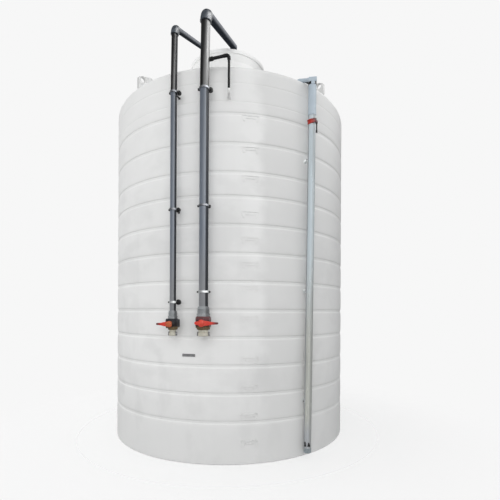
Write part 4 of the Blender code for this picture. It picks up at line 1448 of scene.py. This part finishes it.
class TANK_OT_gauge(bpy.types.Operator):
    """Stand the level gauge: foot cap, clear tube, upper pipe, elbow and brackets"""

    bl_idname = "tank.gauge"
    bl_label = "Level Gauge"

    def execute(self, context):
        up = (gauge_point(1.0) - gauge_point(0.0)).normalized()
        foot, cap, join = gauge_point(0.058), gauge_point(0.168), gauge_point(3.600)
        legs = [("taper", 0.004, 0.0400), ("go", 0.014), ("taper", 0.002, 0.0375), ("go", 0.006)]
        legs += [("taper", 0.002, 0.0400), ("go", 0.022), ("taper", 0.005, 0.0365), ("go", 0.005)]
        piece = piped("gauge_foot", foot, up, 0.036, legs, sides=40)
        settle(piece, "vent", "foot", "gauge_foot_cap")
        place = gauge_frame(0.131) @ spun(GAUGE_FRONT)
        clasps = []
        for outline in (
            [(-0.034, 0.0), (-0.013, 0.0), (-0.020, 0.046), (-0.034, 0.046)],
            [(-0.003, 0.0), (0.032, 0.0), (0.025, 0.022), (0.016, 0.044), (0.010, 0.044)],
        ):
            clasps.append(slab("clasp", outline, -0.043, 0.028, place, 0.003))
        settle(joined("gauge_foot_clasps", clasps), "vent", "standoff")
        place = gauge_frame(0.108)
        inner, outer = GAUGE_TUBE
        outline = oblong(inner, -0.002, outer, (join - cap).length + 0.11)
        tube = turned("gauge_clear_tube", outline + outline[:1], 56, place)
        # A painted shadow line down the tube's left edge and painted shade down its right side
        paint_stripe(tube, "painted_shadow_line", place, GAUGE_FRONT - 95.0, GAUGE_FRONT - 52.0)
        paint_stripe(tube, "shade", place, GAUGE_FRONT + 20.0, GAUGE_FRONT + 100.0)
        settle(tube, "gauge_tube", "tube", "gauge_tube")
        head = point_round(*GAUGE_HEAD)
        inward = -Vector((head.x, head.y, 0.0)).normalized()
        run = inward * math.cos(GAUGE_RUN_PITCH) + UP * math.sin(GAUGE_RUN_PITCH)
        place = gauge_frame(head.z) @ spun(GAUGE_FRONT)
        cap = layer("gauge_cap", oblong(-0.043, -0.040, 0.044, 0.040), -0.018, 0.031, place, 0.007)
        key = slab("key", oblong(-0.014, -0.048, 0.024, -0.014), -0.045, 0.02, place, 0.003)
        start = head + up * 0.014
        sleeve = piped("sleeve", start, run, 0.0245, [("go", 0.085), ("taper", 0.003, 0.0225)], sides=40)
        settle(joined("gauge_cap", [cap, key, sleeve]), "gauge_pipe", "gauge", "gauge_elbow")
        # Painted shadow: a near-black ring under the cap and a near-black wedge under the sleeve, where
        # the shade falls
        ring = piped("gauge_shadow_ring", head - up * 0.042, up, 0.0440, [("go", 0.026)], sides=40)
        steep = (run + UP * 0.22).normalized()
        low = head + inward * 0.035 - up * 0.002
        shadow_wedge = piped("shadow_wedge", low, steep, 0.018, [("taper", 0.080, 0.010)])
        settle(joined("gauge_shadow_ring", [ring, shadow_wedge]), "gauge_pipe", "standoff", "gauge_elbow")
        span = (head - join).length
        legs = [("taper", 0.002, GAUGE_PIPE + 0.0015), ("go", 0.024), ("taper", 0.002, GAUGE_PIPE)]
        legs += [("go", span - 0.096), ("taper", 0.003, GAUGE_PIPE - 0.002)]
        pipe = piped("gauge_upper_pipe", join + up * 0.022, up, GAUGE_PIPE, legs, sides=48)
        settle(pipe, "gauge_pipe", "gauge", "gauge_pipe")
        legs = [("go", 0.19), ("bend", math.radians(50.0), 0.05), ("go", 0.06)]
        normal = run.cross(-UP).normalized()
        pipe = piped("gauge_roof_run", start + run * 0.03, run, 0.0220, legs, normal, 48)
        settle(pipe, "gauge_pipe", "gauge", "gauge_run")
        for index in range(3):
            self.bracket(context, f"gauge_bracket_{index + 1}")
        return {"FINISHED"}

    def bracket(self, context, node):
        """A saddle behind the tube, its post to the wall and two small screws at its ends."""
        place = gauge_frame(middle_of(node).z)
        half = 0.015
        outline = ring_part(*SADDLE, math.radians(62.0), 20)
        saddle = [layer("saddle", outline, -half, half, place @ spun(180.0), 0.0010)]
        centre = place.to_translation()
        inward = -Vector((centre.x, centre.y, 0.0)).normalized()
        gap = Vector((centre.x, centre.y, 0.0)).length - context.scene.tank_shell.radius + 0.012
        reach = 0.044
        legs = [("go", gap - reach - 0.014), ("taper", 0.002, 0.022), ("go", 0.012)]
        saddle.append(piped("post", centre + inward * reach, inward, 0.014, legs, sides=24))
        settle(joined(f"{node}_saddle", saddle), "clip", "clip", node)
        screws = []
        for side in (-1, 1):
            spot = place @ spun(side * 122.0) @ shift(0.0, -0.0445, 0.0) @ OUTWARD
            screws.append(turned("screw", drum(0.0065, -0.001, 0.006, 0.0015), 16, spot))
        settle(joined(f"{node}_screws", screws), "clip", "standoff")


class TANK_OT_pointer(bpy.types.Operator):
    """Clamp the sliding pointer round the gauge's tube"""

    bl_idname = "tank.pointer"
    bl_label = "Gauge Pointer"

    def execute(self, context):
        colours = context.scene.tank_colours
        place = gauge_frame(POINTER_HEIGHT)
        parts = []
        tilted = place @ Matrix.Rotation(POINTER_TILT, 4, "Y")
        rims = ((-0.021, -0.013, 0.0525), (-0.013, 0.013, 0.0490), (0.013, 0.021, 0.0525))
        for low, high, outer in rims:
            outline = ring_part(POINTER_INNER, outer, POINTER_SWEEP, 30)
            parts.append(layer("clamp", outline, low, high, tilted, 0.0010))
        parts.append(slab("index", oblong(-0.004, -0.016, 0.012, 0.004), -0.056, 0.010, tilted, 0.002))
        parts.append(slab("lug", oblong(0.040, -0.019, 0.056, 0.012), -0.030, 0.026, tilted, 0.003))
        pointer = joined("pointer_clamp", parts)
        edge = place @ spun(GAUGE_FRONT - 90.0) @ Vector((0.0, -0.052, 0.0))
        red = tone(colours.handle, 0.70)
        finish = lever_finish("pointer_finish", red, (0.50, 0.15, 0.12), edge, 0.110)
        settle(pointer, "handle", finish, "gauge_pointer", body="pointer_body")
        spot = place @ spun(72.0) @ shift(0.0, -0.056, 0.0)
        tail = [turned("tail", drum(0.007, -0.098, 0.012, 0.002), 20, spot)]
        tail.append(turned("tail_screw", drum(0.0105, -0.006, 0.016, 0.002), 20, spot))
        tail.append(turned("tail_weight", drum(0.0095, -0.104, -0.074, 0.003), 20, spot))
        settle(joined("pointer_tail", tail), "handle", "standoff", body="pointer_body")
        return {"FINISHED"}


class TANK_OT_plate(bpy.types.Operator):
    """Fix the small plain plate to the wall"""

    bl_idname = "tank.plate"
    bl_label = "Wall Plate"

    def execute(self, context):
        centre = middle_of("wall_plate")
        angle = math.degrees(math.atan2(centre.x, -centre.y))
        distance = Vector((centre.x, centre.y, 0.0)).length
        place = round_tank(angle, distance, centre.z)
        half, tall, thick = 0.069, 0.014, 0.004
        corner = 0.004
        outline = []
        for start, x, z in ((0, 1, 1), (90, -1, 1), (180, -1, -1), (270, 1, -1)):
            centre = (x * (half - corner), z * (tall - corner))
            outline += arc(centre, corner, start, start + 90, 3)
        parts = [slab("plate", outline, -thick / 2, thick + 0.004, place, 0.0008)]
        for side in (-1, 1):
            spot = place @ shift(side * (half - 0.008), -thick / 2, 0.0) @ OUTWARD
            parts.append(turned("rivet", drum(0.004, -0.001, 0.002, 0.001), 14, spot))
        settle(joined("plain_plate", parts), "plate", "plate", "wall_plate")
        return {"FINISHED"}


# Stage


def panel(name, spot, aim, size, power, sheen=True, light_up=True):
    """A soft rectangular light, which may show only in reflections or only as light that falls."""
    bpy.ops.object.select_all(action="DESELECT")
    bpy.ops.object.light_add(type="AREA", location=spot)
    light = bpy.context.active_object
    light.name = name
    light.rotation_euler = (Vector(aim) - Vector(spot)).to_track_quat("-Z", "Y").to_euler()
    light.data.shape = "RECTANGLE"
    light.data.size, light.data.size_y = size
    light.data.energy = power
    light.visible_diffuse = light_up
    light.visible_glossy = sheen
    return light


def soft_world():
    """An even pale backdrop to look at, a dim one to reflect, and a soft sky to light by."""
    world = bpy.data.worlds.new("studio_world")
    bpy.context.scene.world = world
    world.use_nodes = True
    tree = world.node_tree
    tree.nodes.clear()

    def node(kind, sockets=None, settings=None):
        return add_node(tree, "ShaderNode" + kind, settings, sockets)

    def glow(colour, strength=1.0):
        return node("Background", {"Color": colour, "Strength": strength}).outputs[0]

    upward = node("SeparateXYZ", {0: node("TexCoord").outputs["Generated"]}).outputs[2]
    level = node("MapRange", {0: upward, 1: -0.6, 2: 0.8}).outputs[0]
    low, high = (0.38, 0.38, 0.385, 1.0), (0.80, 0.81, 0.82, 1.0)
    sky = node("Mix", {0: level, 6: low, 7: high}, {"data_type": "RGBA"}).outputs[2]
    mirrored = glow((0.95, 0.97, 1.0, 1.0), 0.07)
    seen = glow((0.93, 0.93, 0.93, 1.0))
    path = node("LightPath").outputs
    unseen = node("MixShader", {0: path["Is Glossy Ray"], 1: glow(sky), 2: mirrored}).outputs[0]
    choice = node("MixShader", {0: path["Is Camera Ray"], 1: unseen, 2: seen}).outputs[0]
    node("OutputWorld", {0: choice})


class TANK_OT_stage(bpy.types.Operator):
    """Lay the pale floor, hang the soft lights and set the camera"""

    bl_idname = "tank.stage"
    bl_label = "Stage"

    def execute(self, context):
        soft_world()
        adder = bpy.ops.mesh.primitive_circle_add
        floor = begin("studio_floor", adder, vertices=96, radius=6.0, fill_type="NGON")
        bpy.ops.mesh.inset(thickness=2.0)
        end(floor)
        for vertex in floor.data.vertices:
            vertex.co.z = -0.002
        floor.data.materials.append(floor_finish())
        middle = (0.0, 0.0, 2.4)
        risers = (-0.3, -1.6, 3.4)
        panel("side_light", (-9.2, 0.0, 4.0), middle, (9.0, 8.0), 212.0, sheen=False)
        panel("front_light", (0.1, -9.5, 4.6), middle, (9.0, 8.0), 322.0)
        panel("back_light", (-6.5, 5.5, 4.5), middle, (6.0, 6.0), 125.0, sheen=False)
        for name, spot, size, power in (
            ("sheen_front", (2.1, -7.7, 6.0), (2.7, 9.0), 95.0),
            ("sheen_middle", (4.24, -6.37, 6.0), (2.5, 10.0), 133.0),
            ("sheen_right", (5.88, -3.95, 6.0), (3.5, 11.0), 400.0),
            ("sheen_high", (5.88, -3.95, 8.3), (3.5, 1.8), 140.0),
            ("sheen_top", (4.0, -2.0, 12.0), (4.0, 4.0), 110.0),
            ("sheen_back", (6.4, 0.8, 9.0), (5.0, 6.0), 340.0),
            ("sheen_behind", (2.4, 5.1, 9.4), (5.0, 4.5), 62.0),
        ):
            panel(name, spot, risers, size, power, light_up=False)
        camera = bpy.data.cameras.new("photo_camera")
        holder = bpy.data.objects.new("photo_camera", camera)
        context.collection.objects.link(holder)
        holder.location = CAMERA_SPOT
        holder.rotation_euler = (math.pi / 2, CAMERA_ROLL, 0.0)
        camera.sensor_width = SENSOR_WIDTH
        camera.lens = FOCAL_PIXELS / PHOTO_SIZE * SENSOR_WIDTH
        camera.shift_y = (HORIZON_ROW - PHOTO_SIZE / 2) / PHOTO_SIZE
        context.scene.camera = holder
        context.scene.view_settings.view_transform = "Standard"
        return {"FINISHED"}


class TANK_PT_panel(bpy.types.Panel):
    """Sizes, colours and steps of the tank"""

    bl_label = "Storage Tank"
    bl_idname = "TANK_PT_panel"
    bl_space_type = "VIEW_3D"
    bl_region_type = "UI"
    bl_category = "Tank"

    def draw(self, context):
        scene = context.scene
        for group in (scene.tank_shell, scene.tank_lines, scene.tank_colours):
            box = self.layout.box()
            for name in type(group).__annotations__:
                box.prop(group, name)
        for operator in OPERATORS:
            self.layout.operator(operator.bl_idname)


GROUPS = {"tank_shell": ShellSizes, "tank_lines": LineSizes, "tank_colours": FinishColours}
OPERATORS = (
    TANK_OT_shell,
    TANK_OT_tablets,
    TANK_OT_manway,
    TANK_OT_lugs,
    TANK_OT_risers,
    TANK_OT_clips,
    TANK_OT_valves,
    TANK_OT_outlets,
    TANK_OT_vent,
    TANK_OT_gauge,
    TANK_OT_pointer,
    TANK_OT_plate,
    TANK_OT_stage,
)


def register():
    for name, group in GROUPS.items():
        bpy.utils.register_class(group)
        setattr(bpy.types.Scene, name, bpy.props.PointerProperty(type=group))
    for operator in OPERATORS:
        bpy.utils.register_class(operator)
    bpy.utils.register_class(TANK_PT_panel)


def unregister():
    bpy.utils.unregister_class(TANK_PT_panel)
    for operator in reversed(OPERATORS):
        bpy.utils.unregister_class(operator)
    for name, group in GROUPS.items():
        delattr(bpy.types.Scene, name)
        bpy.utils.unregister_class(group)


def main():
    register()
    for operator in OPERATORS:
        group, name = operator.bl_idname.split(".")
        getattr(getattr(bpy.ops, group), name)()


if __name__ == "__main__":
    main()
